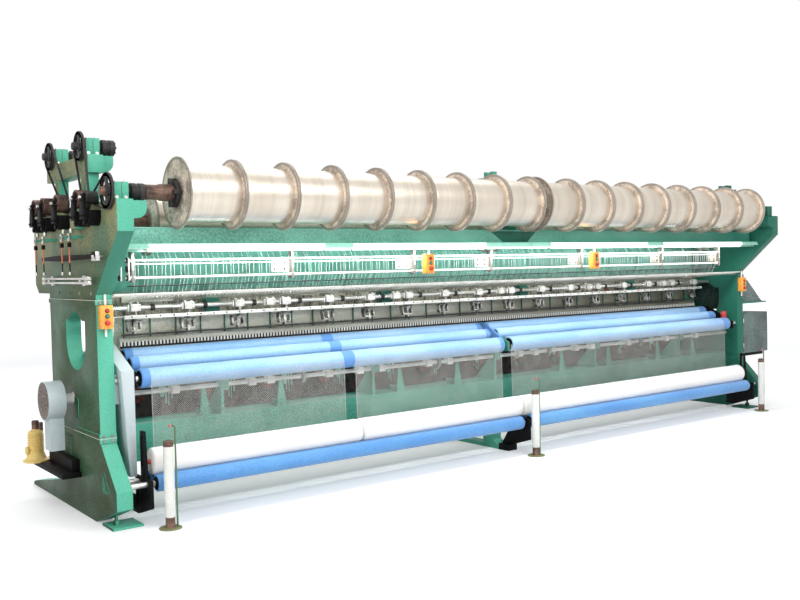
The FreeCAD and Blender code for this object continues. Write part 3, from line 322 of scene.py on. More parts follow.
def flange_metal(name, y, z):
    """Cast flange: dark oily hub, mottled dish and a rubbed bright rim."""
    made = Finish(name, Metallic=0.2)
    across, up = made.axis("Y") - y * MM, made.axis("Z") - z * MM
    reach = across * across + up * up
    blotch = made.noise(9.0, 6.0)
    fleck = made.noise(60.0, 3.0)
    dish = made.mix(made.between(blotch * 0.6 + fleck * 0.4, 0.42, 0.58), (0.88, 0.74, 0.61), (0.38, 0.31, 0.25))
    shade = made.mix(made.between(reach, 0.009, 0.019, 0.85, 0.0), dish, (0.05, 0.038, 0.032))
    shade = made.mix(made.between(reach, 0.056, 0.062, 0.0, 0.85), shade, (0.27, 0.235, 0.195))
    return made.coat(shade, (blotch, 0.3, 0.5), (fleck, 0.14, 0.0009))


def speckled(name, ground, fleck_colour, scale, roughness):
    """Paint under rust and dust in fine specks."""
    made = Finish(name, Specular_IOR_Level=0.4)
    speck = made.noise(scale, 4.0)
    cloud = made.noise(4.0, 5.0)
    shade = made.mix(made.between(speck * 0.7 + cloud * 0.3, 0.44, 0.58), ground, fleck_colour)
    return made.coat(shade, (cloud, roughness, roughness + 0.2), (speck, 0.15, 0.0012))


def metal(name, light, dark, roughness, metallic, scale):
    """Bare metal with blotches of tarnish and fine scratches round it."""
    made = Finish(name, Metallic=metallic)
    blotch = made.noise(scale, 6.0)
    scratch = made.noise(90.0, 2.0, (0.15, 1, 1))
    shade = made.mix(made.between(blotch * 0.7 + scratch * 0.3, 0.38, 0.64), light, dark)
    return made.coat(shade, (blotch, roughness, roughness + 0.2), (scratch, 0.1, 0.0006))


def wound_yarn(name, light, dark):
    """Silvery filament wound side by side, with slightly darker bands."""
    made = Finish(name, Specular_IOR_Level=0.5, Metallic=0.8)
    thread = (made.axis("X") * 2600.0).wave()
    band = made.noise(9.0, 3.0, (1, 0.02, 0.02))
    streak = made.noise(60.0, 2.0, (1, 0.03, 0.03))
    blotch = made.noise(2.4, 4.0)
    shade = made.between(band * 0.45 + streak * 0.3 + blotch * 0.25, 0.40, 0.62)
    return made.coat(made.mix(shade, light, dark), (blotch, 0.26, 0.42), (thread, 0.10, 0.0008))


def covering(name, shade, pale, bare):
    """Rubberised cloth stretched over a roller; bare is how far it shows its own look where no net lies on it."""
    made = Finish(name, Roughness=0.5, Sheen_Weight=0.25, Specular_IOR_Level=0.4)
    along = made.axis("X")
    weave = (along * 900.0).wave() * (made.axis("Z") * 900.0).wave()
    blotch = made.noise(3.0, 5.0, (0.4, 1, 1))
    fleck = made.noise(80.0, 2.0)
    edges = [-ROLLER_HALF, *(x for span in NET_SPANS for x in span), ROLLER_HALF]
    gaps = 0
    for low, high in zip(edges[::2], edges[1::2]):
        off = along - (low + high) / 2 * MM
        half = (high - low) / 2 * MM
        gaps = made.between(off * off, half * half, (half + 0.004) ** 2, bare, 0.0) + gaps
    netted = made.mix(made.between(blotch * 0.6 + fleck * 0.4, 0.40, 0.62), shade, pale)
    shade = made.mix(gaps, netted, (0.36 * shade[0], 0.60 * shade[1], 0.86 * shade[2]))
    return made.coat(shade, (blotch, 0.42, 0.6), (weave * 0.5 + blotch * 0.5, 0.14, 0.0012))


def wound_net(name, light, dark):
    """Rolled netting: diamonds showing faintly in warm white."""
    made = Finish(name, Roughness=0.7, Sheen_Weight=0.3)
    along, up = made.axis("X"), made.axis("Z")
    lattice = (along * 420.0 + up * 420.0).wave() * (along * 420.0 - up * 420.0).wave()
    fold = made.noise(5.0, 4.0, (0.12, 1, 1))
    shade = made.mix(made.between(fold, 0.42, 0.68), light, dark)
    return made.coat(shade, bump=(lattice * 0.6 + fold * 0.6, 0.35, 0.002))


def plastic(name, shade, worn, roughness):
    """Moulded plastic with scuffs."""
    made = Finish(name, Specular_IOR_Level=0.5)
    scuff = made.noise(28.0, 5.0)
    shade = made.mix(made.between(scuff, 0.5, 0.7, 0.0, 0.8), shade, worn)
    return made.coat(shade, (scuff, roughness, roughness + 0.15), (made.noise(240.0, 1.0), 0.06, 0.0004))


def filament(name, shade, dark):
    """Thin monofilament thread."""
    made = Finish(name, Roughness=0.45, Specular_IOR_Level=0.5)
    return made.coat(made.mix(made.between(made.noise(8.0, 2.0), 0.35, 0.65), shade, dark))


def glowing_tube(name, strength):
    """Fluorescent tube that is lit, a little cooler in patches."""
    made = Finish(name, Base_Color=(0.95, 0.97, 0.95, 1), Roughness=0.3, Emission_Strength=strength)
    patch = made.between(made.noise(3.0, 1.0), 0.4, 0.6)
    made.feed("Emission Color", made.mix(patch, (1, 1, 0.98), (0.95, 1, 1)))
    return made.material


# Every finish by its name: its maker and what the maker is given. A word stands for a colour that the panel lists.
PAINTS = {
    # Frame enamel: the second colour is the darker right end and the third is the olive of the outer sides, both
    # painted shade; the fourth is that olive's paler khaki higher up.
    "frame enamel": (side_enamel, "frame_green", (0.010, 0.105, 0.070), (0.036, 0.070, 0.024),
                     (0.26, 0.255, 0.125), 0.4),
    # Upper girder: the very pale left end is painted light from the lamp tubes under it, and the darker right end
    # is painted shade.
    "upper girder enamel": (girder_enamel, (0.40, 0.84, 0.70), (0.075, 0.36, 0.265), (0.05, 0.22, 0.16)),
    "girder enamel": (girder_enamel, "girder_green", None, (0.02, 0.10, 0.065)),
    # Panels: the near white is partly painted light from the lamp tubes, and the dark far end is painted shade.
    "pale panel enamel": (girder_enamel, (0.90, 0.90, 0.80), (0.15, 0.15, 0.115), (0.36, 0.33, 0.24)),
    "inner enamel": (enamel, (0.015, 0.14, 0.095), (0.01, 0.04, 0.03), 0.35),
    "trough enamel": (enamel, (0.34, 0.72, 0.58), (0.18, 0.48, 0.37), 0.45),
    "blue-grey sheet enamel": (enamel, (0.50, 0.57, 0.59), (0.33, 0.38, 0.40), 0.3),
    "black paint": (enamel, (0.004, 0.004, 0.0045), (0.018, 0.014, 0.012), 0.5, 0.1),
    "white enamel": (enamel, (0.80, 0.80, 0.76), (0.50, 0.49, 0.43), 0.35),
    "yellow enamel": (enamel, "reducer_yellow", (0.58, 0.38, 0.12), 0.35),
    "green brass": (enamel, (0.22, 0.23, 0.10), (0.12, 0.10, 0.05), 0.4),
    "rod enamel": (enamel, (0.10, 0.22, 0.12), (0.16, 0.14, 0.06), 0.4),
    "rear sheet enamel": (layered_sheet, (0.13, 0.46, 0.355), (0.46, 0.43, 0.34), (0.055, 0.05, 0.04), 1.70,
                          (0.050, 0.33, 0.225)),
    # Near black-brown with specks: painted shade that stands for the dark inside of the machine.
    "dusty rear wall": (speckled, (0.085, 0.060, 0.055), (0.022, 0.018, 0.018), 11.0, 0.6),
    "grey sheet enamel": (speckled, (0.15, 0.21, 0.20), (0.060, 0.072, 0.070), 70.0, 0.34),
    "inner sheet enamel": (speckled, (0.012, 0.055, 0.042), (0.006, 0.016, 0.014), 40.0, 0.5),
    "red oxide": (speckled, (0.27, 0.055, 0.045), (0.07, 0.03, 0.025), 26.0, 0.5),
    "rusty guard face": (speckled, (0.26, 0.22, 0.19), (0.09, 0.065, 0.05), 60.0, 0.5),
    "rubbed pale metal": (metal, (0.86, 0.85, 0.82), (0.60, 0.58, 0.53), 0.3, 0.4, 9.0),
    "bright steel": (metal, (0.72, 0.71, 0.69), (0.46, 0.44, 0.40), 0.22, 0.9, 5.0),
    "grey steel": (metal, (0.38, 0.37, 0.34), (0.19, 0.18, 0.16), 0.38, 0.75, 7.0),
    "dark oiled steel": (metal, (0.035, 0.033, 0.032), (0.010, 0.009, 0.009), 0.45, 0.25, 9.0),
    "rusty metal": (metal, (0.22, 0.125, 0.085), (0.055, 0.034, 0.028), 0.45, 0.4, 14.0),
    "copper-brown drum": (metal, (0.17, 0.095, 0.07), (0.035, 0.022, 0.019), 0.4, 0.4, 16.0),
    "oily cast arms": (metal, (0.66, 0.65, 0.60), (0.035, 0.033, 0.03), 0.3, 0.7, 22.0),
    "front flange metal": (flange_metal, *FRONT_AXIS),
    "rear flange metal": (flange_metal, *REAR_AXIS),
    "black rubber": (plastic, (0.012, 0.012, 0.012), (0.03, 0.03, 0.028), 0.6),
    "orange rod": (plastic, (0.72, 0.20, 0.09), (0.40, 0.16, 0.09), 0.4),
    "orange box": (plastic, "control_orange", (0.62, 0.20, 0.05), 0.4),
    "red button": (plastic, (0.62, 0.025, 0.02), (0.45, 0.05, 0.04), 0.3),
    "teal button": (plastic, (0.03, 0.25, 0.22), (0.08, 0.30, 0.28), 0.3),
    "red dome": (plastic, (0.50, 0.03, 0.03), (0.30, 0.04, 0.04), 0.35),
    "red core": (plastic, (0.50, 0.05, 0.06), (0.35, 0.06, 0.06), 0.45),
    "pink knob": (plastic, (0.62, 0.12, 0.14), (0.5, 0.3, 0.3), 0.4),
    "wound filament": (wound_yarn, (0.70, 0.635, 0.545), (0.57, 0.505, 0.42)),
    "wound net": (wound_net, (0.94, 0.92, 0.89), (0.86, 0.81, 0.76)),
    "take-down covering": (covering, "covering", (0.35, 0.54, 0.77), 0.9),
    "batching covering": (covering, "batching", (0.13, 0.36, 0.68), 0.0),
    "net thread": (filament, (0.62, 0.61, 0.57), (0.46, 0.45, 0.41)),
    "yarn strands": (filament, (0.72, 0.73, 0.69), (0.50, 0.53, 0.49)),
    "warp ends": (filament, (0.52, 0.48, 0.40), (0.17, 0.15, 0.12)),
    "lit tube": (glowing_tube, 3.0),
}
FINISHES = {}


def finish(name):
    """Makes each finish once, by its name."""
    if name not in FINISHES:
        scene = bpy.context.scene
        maker, *values = PAINTS[name]
        for place, value in enumerate(values):
            if isinstance(value, str):
                group = scene.knit_rollers if hasattr(scene.knit_rollers, value) else scene.knit_paint
                values[place] = tuple(getattr(group, value))
        FINISHES[name] = maker(name, *values)
    return FINISHES[name]


# ------------------------------------------------------------------ mesh tools
def spot_at(level, a, b, along):
    """A corner, from its place along an axis and its two other coordinates."""
    return {"X": (level, a, b), "Y": (a, level, b), "Z": (a, b, level)}[along]


def bands(rings, sides, closed=False):
    """Faces between rings of corners; closed joins the last ring to the first, and else both ends get a cap."""
    total = rings * sides
    faces = []
    for ring in range(rings if closed else rings - 1):
        for k in range(sides):
            a, b = ring * sides + k, ring * sides + (k + 1) % sides
            faces.append((a, b, (b + sides) % total, (a + sides) % total))
    if not closed:
        faces += [tuple(range(sides)), tuple(range(total - 1, total - sides - 1, -1))]
    return faces


def rays(count, turned=0.0):
    """Directions outwards and sideways at even angles round an axis."""
    for k in range(count):
        angle = 2 * math.pi * k / count + turned
        yield Vector((math.cos(angle), math.sin(angle))), Vector((-math.sin(angle), math.cos(angle)))


class Shape:
    """Collects closed shells with sizes in millimetres, each with one of the piece's finishes."""

    def __init__(self):
        self.verts = []
        self.faces = []
        self.slots = []
        self.slot = 0

    def shell(self, verts, faces):
        start = len(self.verts)
        self.verts += [tuple(value * MM for value in vert) for vert in verts]
        self.faces += [tuple(start + index for index in face) for face in faces]
        self.slots += [self.slot] * len(faces)
        return self

    def block(self, x, y, z):
        corners = [(a, b, c) for a in x for b in y for c in z]
        return self.shell(corners, [(0, 1, 3, 2), (4, 6, 7, 5), (0, 4, 5, 1), (2, 3, 7, 6), (0, 2, 6, 4),
                                    (1, 5, 7, 3)])

    def plate(self, outline, span, along="X"):
        """Outline drawn out along an axis; its points are the two other coordinates in order."""
        count = len(outline)
        verts = [spot_at(level, a, b, along) for level in span for a, b in outline]
        sides = [(i, (i + 1) % count, count + (i + 1) % count, count + i) for i in range(count)]
        return self.shell(verts, sides + [tuple(range(count)), tuple(range(2 * count - 1, count - 1, -1))])

    def turn(self, profile, at, along="X", sides=40, turned=0.0, closed=False):
        """Round form; profile holds (distance along, radius), at the two other coordinates."""
        angles = [2 * math.pi * k / sides + turned for k in range(sides)]
        verts = [spot_at(level, at[0] + r * math.cos(angle), at[1] + r * math.sin(angle), along)
                 for level, r in profile for angle in angles]
        return self.shell(verts, bands(len(profile), sides, closed))

    def ring(self, span, radii, at, along="X", sides=40):
        """Closed ring with a bore."""
        (x0, x1), (inner, outer) = span, radii
        return self.turn([(x0, inner), (x0, outer), (x1, outer), (x1, inner)], at, along, sides, closed=True)

    def tube(self, points, r, sides=10):
        """Round tube along points, closed at its ends."""
        points = [Vector(point) for point in points]
        verts = []
        side = Vector((0, 0, 1)) if abs((points[1] - points[0]).normalized().z) < 0.9 else Vector((1, 0, 0))
        for place, point in enumerate(points):
            ahead = points[min(place + 1, len(points) - 1)] - points[max(place - 1, 0)]
            across = ahead.cross(side).normalized()
            side = across.cross(ahead).normalized()
            for k in range(sides):
                angle = 2 * math.pi * k / sides
                verts.append(tuple(point + across * (r * math.cos(angle)) + side * (r * math.sin(angle))))
        return self.shell(verts, bands(len(points), sides))

    def hexagon(self, x, at, r, along="X"):
        """Bolt head with a washer under it."""
        a, b = x
        self.turn([(a, r), (b, r)], at, along, sides=6)
        return self.turn([(a, 1.35 * r), (a + 0.25 * (b - a), 1.35 * r)], at, along, sides=14)

    def spokes(self, at, count, outline, span, turned=0.0):
        """Flat pieces round an axis, each with its outline as (distance out, distance sideways)."""
        for ray, side in rays(count, turned):
            self.plate([tuple(Vector(at) + ray * out + side * off) for out, off in outline], span)

    def piece(self, name, finishes=(), bevel=0.0):
        mesh = bpy.data.meshes.new(name)
        mesh.from_pydata(self.verts, [], self.faces)
        for index, face in enumerate(mesh.polygons):
            face.material_index = self.slots[index]
        return finished(mesh, name, finishes, bevel)

    def place(self, name, finishes, slot, *nodes, body="machine", bevel=0.0):
        """One piece from the shape, on its body."""
        return place(self.piece(name, finishes, bevel), body, slot, *nodes)

    def rows(self, name, coat, slot, runs, *nodes, body="machine", bevel=0.0, sway=0, seed=3):
        """One piece from rows of copies; a run is (count, first X, step) and, where they aren't 0, Y and Z."""
        pattern = self.piece(name + "_pattern", (), bevel)
        made = [row(pattern, f"{name}_{i}", run, coat, sway, seed) for i, run in enumerate(runs)]
        bpy.data.objects.remove(pattern)
        return place(joined(name, made) if len(made) > 1 else made[0], body, slot, *nodes)


def linked(name, mesh):
    obj = bpy.data.objects.new(name, mesh)
    bpy.context.scene.collection.objects.link(obj)
    return obj


def shaped(obj):
    """What an object's modifiers make of it, as a plain mesh."""
    bpy.context.view_layer.update()
    return bpy.data.meshes.new_from_object(obj.evaluated_get(bpy.context.evaluated_depsgraph_get()))


def finished(mesh, name, finishes, bevel=0.0):
    """Gives a mesh outward faces, bevelled edges, smooth rounds and its finishes."""
    work = bmesh.new()
    work.from_mesh(mesh)
    bmesh.ops.recalc_face_normals(work, faces=work.faces)
    work.to_mesh(mesh)
    work.free()
    obj = linked(name, mesh)
    for coat in finishes:
        mesh.materials.append(finish(coat))
    if bevel:
        edge = obj.modifiers.new("edge", "BEVEL")
        edge.width = bevel * MM
        edge.segments = 2
        edge.limit_method = "ANGLE"
        edge.angle_limit = EDGE_ANGLE
        edge.use_clamp_overlap = True
        mesh = shaped(obj)
        obj.modifiers.clear()
        obj.data = mesh
    obj.data.shade_smooth()
    obj.data.set_sharp_from_angle(angle=EDGE_ANGLE)
    return obj


def place(obj, body, slot, *nodes):
    """Puts a piece on its body in place of the CAD nodes it stands for, which it hides; slot is not used."""
    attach(obj, body)
    if nodes:
        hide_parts(*nodes)
    return obj


def dressed(node, slot, bevel, *finishes, body="machine", paint=None):
    """Copy of a CAD node with rounded edges; paint says which of its finishes a face gets."""
    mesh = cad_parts[node].data.copy()
    mesh.materials.clear()
    work = bmesh.new()
    work.from_mesh(mesh)
    bmesh.ops.remove_doubles(work, verts=work.verts, dist=2e-5)
    bmesh.ops.dissolve_limit(work, angle_limit=math.radians(1.0), verts=work.verts, edges=work.edges)
    if paint:
        for face in work.faces:
            face.material_index = int(paint(face.calc_center_median() / MM))
    work.to_mesh(mesh)
    work.free()
    for name_of in [attribute.name for attribute in mesh.attributes if attribute.name.startswith("custom_normal")]:
        mesh.attributes.remove(mesh.attributes[name_of])
    return place(finished(mesh, node + "_painted", finishes, bevel), body, slot, node)


def row_tree():
    """Node tree that sets copies of a pattern in a row."""
    if "Row of pieces" in bpy.data.node_groups:
        return bpy.data.node_groups["Row of pieces"]
    tree = bpy.data.node_groups.new("Row of pieces", "GeometryNodeTree")
    tree.is_modifier = True
    face = tree.interface
    kinds = (("Pattern", "Object"), ("Count", "Int"), ("Start", "Vector"), ("Step", "Vector"), ("Sway", "Vector"),
             ("Seed", "Int"), ("Finish", "Material"))
    for label, kind in kinds:
        face.new_socket(label, in_out="INPUT", socket_type="NodeSocket" + kind)
    face.new_socket("Row", in_out="OUTPUT", socket_type="NodeSocketGeometry")
    given, line, pattern, copies, sway, back, shift, real, dress, made = (tree.nodes.new(kind) for kind in (
        "NodeGroupInput", "GeometryNodeMeshLine", "GeometryNodeObjectInfo", "GeometryNodeInstanceOnPoints",
        "FunctionNodeRandomValue", "ShaderNodeVectorMath", "GeometryNodeTranslateInstances",
        "GeometryNodeRealizeInstances", "GeometryNodeSetMaterial", "NodeGroupOutput"))
    line.mode = "OFFSET"
    sway.data_type = "FLOAT_VECTOR"
    back.operation = "SCALE"
    back.inputs["Scale"].default_value = -1.0
    links = ((given, "Count", line, "Count"), (given, "Start", line, "Start Location"),
             (given, "Step", line, "Offset"), (given, "Pattern", pattern, "Object"), (line, 0, copies, "Points"),
             (pattern, "Geometry", copies, "Instance"), (given, "Sway", sway, "Max"), (given, "Sway", back, 0),
             (back, 0, sway, "Min"), (given, "Seed", sway, "Seed"), (copies, 0, shift, "Instances"),
             (sway, 0, shift, "Translation"), (shift, 0, real, 0), (real, 0, dress, 0),
             (given, "Finish", dress, "Material"), (dress, 0, made, 0))
    for source, out, target, into in links:
        tree.links.new(source.outputs[out], target.inputs[into])
    return tree


def row(pattern, name, run, coat, sway, seed):
    """Row of copies of a pattern as one plain mesh object; sizes in millimetres."""
    count, x, step, *at = run
    holder = linked(name + "_holder", bpy.data.meshes.new(name))
    tree = row_tree()
    use = holder.modifiers.new("row", "NODES")
    use.node_group = tree
    values = {"Pattern": pattern, "Count": count, "Start": [v * MM for v in (x, *(at or (0, 0)))],
              "Step": [step * MM, 0, 0], "Sway": [sway * MM, 0, 0], "Seed": seed, "Finish": finish(coat)}
    for item in tree.interface.items_tree:
        if item.in_out == "INPUT":
            use[item.identifier] = values[item.name]
    mesh = shaped(holder)
    bpy.data.objects.remove(holder)
    return linked(name, mesh)


def joined(name, objs):
    """One object from several of the same finish, in the order given."""
    work = bmesh.new()
    for obj in objs:
        work.from_mesh(obj.data)
    for face in work.faces:
        face.material_index = 0
    mesh = bpy.data.meshes.new(name)
    work.to_mesh(mesh)
    work.free()
    mesh.materials.append(objs[0].data.materials[-1])
    for obj in objs:
        bpy.data.objects.remove(obj)
    return linked(name, mesh)


# ------------------------------------------------------------------ operators
class KNIT_OT_side_frames(bpy.types.Operator):
    """Builds the castings of both side frames, their seams and their feet."""
    bl_idname = "knit.side_frames"
    bl_label = "Side frames"

    def execute(self, context):
        for node, bevel in (("base_castings", 7), ("middle_castings", 5), ("head_castings", 7),
                            ("upper_carriers", 5), ("machine_feet", 2.5)):
            dressed(node, "frame_green", bevel, "frame enamel")
        seams, bolts, plates = Shape(), Shape(), Shape()
        outlines = ([(-179, 733), (-40, 733), (-30, 745), (-30, 902), (-160, 902), (-179, 890)],
                    [(30, 392), (200, 392), (200, 580), (30, 580)],
                    [(-820, 273), (-740, 273), (-668, 406), (-700, 406), (-770, 330)])
        for sign in (-1, 1):
            outer = sorted((sign * (FRAME_OUT + 9.5), sign * (FRAME_OUT - 8)))
            across = sorted((sign * FRAME_OUT, sign * FRAME_IN))
            for z in JOINT_ZS:
                seams.block(outer, (CASTING_FRONT_Y, 470), (z - 1.5, z + 1.5))
                seams.block(across, (CASTING_FRONT_Y - 0.8, -640), (z - 1.5, z + 1.5))
            for x in (4018, 4080):
                for z in (1643, 657, 622):
                    bolts.hexagon((CASTING_FRONT_Y, CASTING_FRONT_Y - 10), (sign * x, z), 9, "Y")
            for spot in ((-560, 1710), (-300, 1710), (-40, 1710), (220, 1710), (-1060, 2230), (700, 2300)):
                bolts.hexagon((sign * FRAME_OUT, sign * (FRAME_OUT + 8)), spot, 10)
            for outline in outlines:
                plates.plate(outline, sorted((sign * (FRAME_OUT - 1), sign * (FRAME_OUT + 5))))
        seams.place("casting_seams", ["pale panel enamel"], "frame_green")
        bolts.place("casting_bolts", ["grey steel"], "bright_steel")
        plates.place("side_covers", ["frame enamel"], "frame_green", bevel=1.5)
        return {"FINISHED"}


class KNIT_OT_girders(bpy.types.Operator):
    """Builds the girders, the pedestal, the comb beam and the back panels."""
    bl_idname = "knit.girders"
    bl_label = "Girders"

    def execute(self, context):
        dressed("upper_girders", "girder_green", 3, "upper girder enamel", "rear sheet enamel",
                paint=lambda spot: spot.z < 2064)
        # The rear wall of the lower girders is painted near black-brown as painted shade for the dark inside of the
        # machine.
        dressed("lower_girders", "girder_green", 3, "girder enamel", "dusty rear wall",
                paint=lambda spot: spot.z > 691 and spot.y > 200)
        self.inner_works()
        dressed("center_pedestal", "girder_green", 5, "girder enamel")
        dressed("comb_beam", "girder_green", 2.5, "girder enamel", "pale panel enamel",
                paint=lambda spot: spot.z > 1241)
        # Dark posts between the pale panels stand for the gaps there, which lie in shade: their dark enamel is
        # painted shade.
        post = Shape().plate([(-5, 1242), (5, 1242), (5, 1500), (-5, 1500)], (-26, -14), "Y")
        post.rows("panel_posts", "inner enamel", "girder_green", [(34, -3690, 223.6, -46, 0)], bevel=1)
        return {"FINISHED"}

    @staticmethod
    def inner_works():
        """What shows through the nets and behind the yarns, and the plates on the girders and the left window."""
        disc = Shape().turn([(178, 46), (182, 66), (214, 70), (249, 70)], (0, 820), "Y", 28)
        disc.turn([(160, 14), (163, 18), (180, 18)], (0, 820), "Y", 14)
        disc.rows("counterweights", "red oxide", "drum_copper", [(7, -3500, 620), (6, 360, 620)])
        link = Shape().plate([(-22, 900), (22, 900), (30, 842), (12, 790), (-12, 790), (-30, 842)], (150, 162), "Y")
        for block in (((-6, 6), (148, 249), (884, 896)), ((66, 74), (238, 249), (720, 960)),
                      ((92, 98), (238, 249), (700, 930)), ((118, 128), (236, 249), (760, 990))):
            link.block(*block)
        link.rows("rear_links", "trough enamel", "bright_steel", [(12, -3290, 600)], bevel=1)
        slot = Shape().plate([(-210, 452), (210, 452), (210, 500), (-210, 500)], (-472.5, -468), "Y")
        slot.rows("girder_covers", "inner enamel", "girder_green", [(5, -3060, 1515)], bevel=1)
        gusset = Shape().plate([(-50, 690), (50, 690), (6, 905), (-14, 935), (-26, 905)], (-470, -462), "Y")
        gusset.block((-8, 8), (-463, -300), (690, 740))
        gusset.rows("cam_gussets", "girder enamel", "girder_green",
                    [(1, x, 0) for x in (-3186, -2477, -1205, -500, 980, 1740, 2620, 3300)], bevel=1.5)
        patch = Shape().plate([(-55, -46), (38, -58), (56, 8), (20, 44), (-34, 30)], (-30, -20), "Y")
        patch.rows("oxide_plates", "red oxide", "girder_green", [(1, x, 0, 0, z) for x, z in RED_PLACES], bevel=1)
        drop = Shape().plate([(-353, 2176), (249, 2176), (128, 2073), (-197, 2073)], (-826, -819.5), "Y")
        drop.place("girder_drop_plate", ["inner enamel"], "girder_green", bevel=1)
        cover = Shape().plate([(-420, 1215), (90, 1215), (90, 1560), (60, 1590), (-390, 1590), (-420, 1560)],
                              (FRAME_OUT, FRAME_OUT + 6))
        cover.place("window_cover", ["inner sheet enamel"], "frame_green", bevel=1.5)


def flange_profile(size):
    """Outer face, bead and inner face of one dished flange, as (distance, radius)."""
    r = size / MM
    return [(0, 55), (0, 96), (5, 104), (6, 150), (6, r - 26), (0.3, r - 16), (0, r - 5), (2, r - 1), (7, r),
            (12, r - 1), (14, r - 6), (14, r - 52), (13, 120), (14, 100), (14, 55)]


def flange_pair(size, length, ribbed=False):
    """Two flanges a length apart, dished faces outwards, with ribs on the dish where the spool is short."""
    shape = Shape()
    for start, turn in ((0, 1), (length, -1)):
        shape.turn([(start + turn * a, r) for a, r in flange_profile(size)], (0, 0), sides=56)
        if ribbed:
            span = sorted((start + turn * 1.5, start + turn * 8))
            shape.spokes((0, 0), 6, ((98, -7), (232, -5), (232, 5), (98, 7)), span, 0.3)
    return shape


def wound_pack(length, size):
    """Wound warp between two flanges a length apart, a touch fuller in the middle."""
    r, start, end = size / MM, 14, length - 14
    swell = [(start + (end - start) * k / 6, r + 1.2 * math.sin(math.pi * k / 6)) for k in range(1, 6)]
    profile = [(start, r - 2.5), (start + 4, r - 0.5), *swell, (end - 4, r - 0.5), (end, r - 2.5)]
    return Shape().turn(profile, (0, 0), sides=64)


def left_journal(axis):
    """Left end of a shaft, where its belt wheel sits."""
    return Shape().turn([(-4174, 26), (-4171, JOURNAL_R), (-JOURNAL_X, JOURNAL_R)], axis, sides=28)


def wheel(shape, x, at, r):
    """Belt wheel: grooved rim, hub and four spokes."""
    x0, x1 = x
    shape.ring((x0, x1), (0.80 * r, r - 0.6), at, sides=48)
    for flank in ((x0, x0 + 3), (x1 - 3, x1)):
        shape.ring(flank, (0.78 * r, r), at, sides=48)
    shape.turn([(x0 - 8, 0.24 * r), (x0 - 8, 0.30 * r), (x0, 0.36 * r), (x1, 0.36 * r)], at, sides=28)
    wide, slim = 0.20 * r, 0.13 * r
    outline = ((0.3 * r, -wide), (0.83 * r, -slim), (0.83 * r, slim), (0.3 * r, wide))
    shape.spokes(at, 4, outline, (x0 + 4, x1 - 4))


def coupling(shape, x, at):
    """Flanged shaft coupling with a ring of bolts and a clamp slot."""
    x0, x1 = x
    r, middle = COUPLING_R, (x0 + x1) / 2
    shape.turn([(x0, r - 12), (x0 + 3, r - 4), (x0 + 8, r), (middle - 9, r), (middle - 6, r - 7),
                (middle + 6, r - 7), (middle + 9, r), (x1 - 8, r), (x1 - 3, r - 4), (x1, r - 12)], at,
               sides=10, turned=0.2)
    for ray, _ in rays(6):
        shape.hexagon((x1 - 2, x1 + 7), tuple(Vector(at) + ray * (0.66 * r)), 8)


class KNIT_OT_front_spools(bpy.types.Operator):
    """Builds the front row: shafts, dished flanges and sixteen wound packages."""
    bl_idname = "knit.front_spools"
    bl_label = "Front spools"

    def execute(self, context):
        sizes = context.scene.knit_spools
        runs = [(sizes.count, x, PITCH, *FRONT_AXIS) for x in (-HALF_ROW, MIDDLE_X)]
        flange_pair(sizes.flange, PITCH, True).rows(
            "front_flanges_dished", "front flange metal", "flange_grey", runs, "front_flanges", body="front_beam")
        wound_pack(PITCH, sizes.yarn).rows(
            "front_yarn_wound", "wound filament", "yarn_silver", runs, "front_yarn", body="front_beam")
        shaft = left_journal(FRONT_AXIS)
        for profile in (
                [(-3854, SHAFT_R), (-3760, SHAFT_R), (-3735, 62), (-3650, 62), (-3640, SHAFT_R),
                 (-HALF_ROW, SHAFT_R)],
                [(-MIDDLE_X, SHAFT_R), (MIDDLE_X, SHAFT_R)],
                [(HALF_ROW, SHAFT_R), (JOURNAL_X, SHAFT_R), (JOURNAL_X, JOURNAL_R), (4094, JOURNAL_R)]):
            shaft.turn(profile, FRONT_AXIS, sides=32)
        shaft.slot = 1
        shaft.turn([(-3642, 84), (-3638, 92), (-HALF_ROW, 92)], FRONT_AXIS, sides=32)
        shaft.spokes(FRONT_AXIS, 4, ((50, -20), (104, -14), (104, 14), (50, 20)), (-3668, -HALF_ROW))
        coupling(shaft, (-JOURNAL_X, -3854), FRONT_AXIS)
        wheel(shaft, WHEEL_XS, FRONT_AXIS, WHEEL_R)
        shaft.place("front_shaft_turned", ["rusty metal", "dark oiled steel"], "flange_grey", "front_beam_shaft",
                    body="front_beam", bevel=0.8)
        return {"FINISHED"}


class KNIT_OT_rear_spools(bpy.types.Operator):
    """Builds the rear row: shafts, end flanges and its two long wound halves."""
    bl_idname = "knit.rear_spools"
    bl_label = "Rear spools"

    def execute(self, context):
        sizes = context.scene.knit_spools
        runs = [(1, x, 0, *REAR_AXIS) for x in (-HALF_ROW, MIDDLE_X)]
        half = HALF_ROW - MIDDLE_X
        flange_pair(sizes.flange, half).rows(
            "rear_flanges_dished", "rear flange metal", "rear_steel", runs, "rear_spools", body="rear_beam")
        wound_pack(half, sizes.yarn).rows(
            "rear_yarn_wound", "wound filament", "yarn_silver", runs, "rear_yarn", body="rear_beam")
        shaft = Shape().turn([(-MIDDLE_X, SHAFT_R), (MIDDLE_X, SHAFT_R)], REAR_AXIS, sides=32)
        for sign in (-1, 1):
            steps = ((HALF_ROW, SHAFT_R), (JOURNAL_X, SHAFT_R), (JOURNAL_X + 4, 50), (JOURNAL_X + 4, JOURNAL_R),
                     (4094, JOURNAL_R))
            shaft.turn([(sign * a, r) for a, r in steps], REAR_AXIS, sides=32)
        shaft.place("rear_shafts_turned", ["rusty metal"], "rear_steel", body="rear_beam")
        return {"FINISHED"}


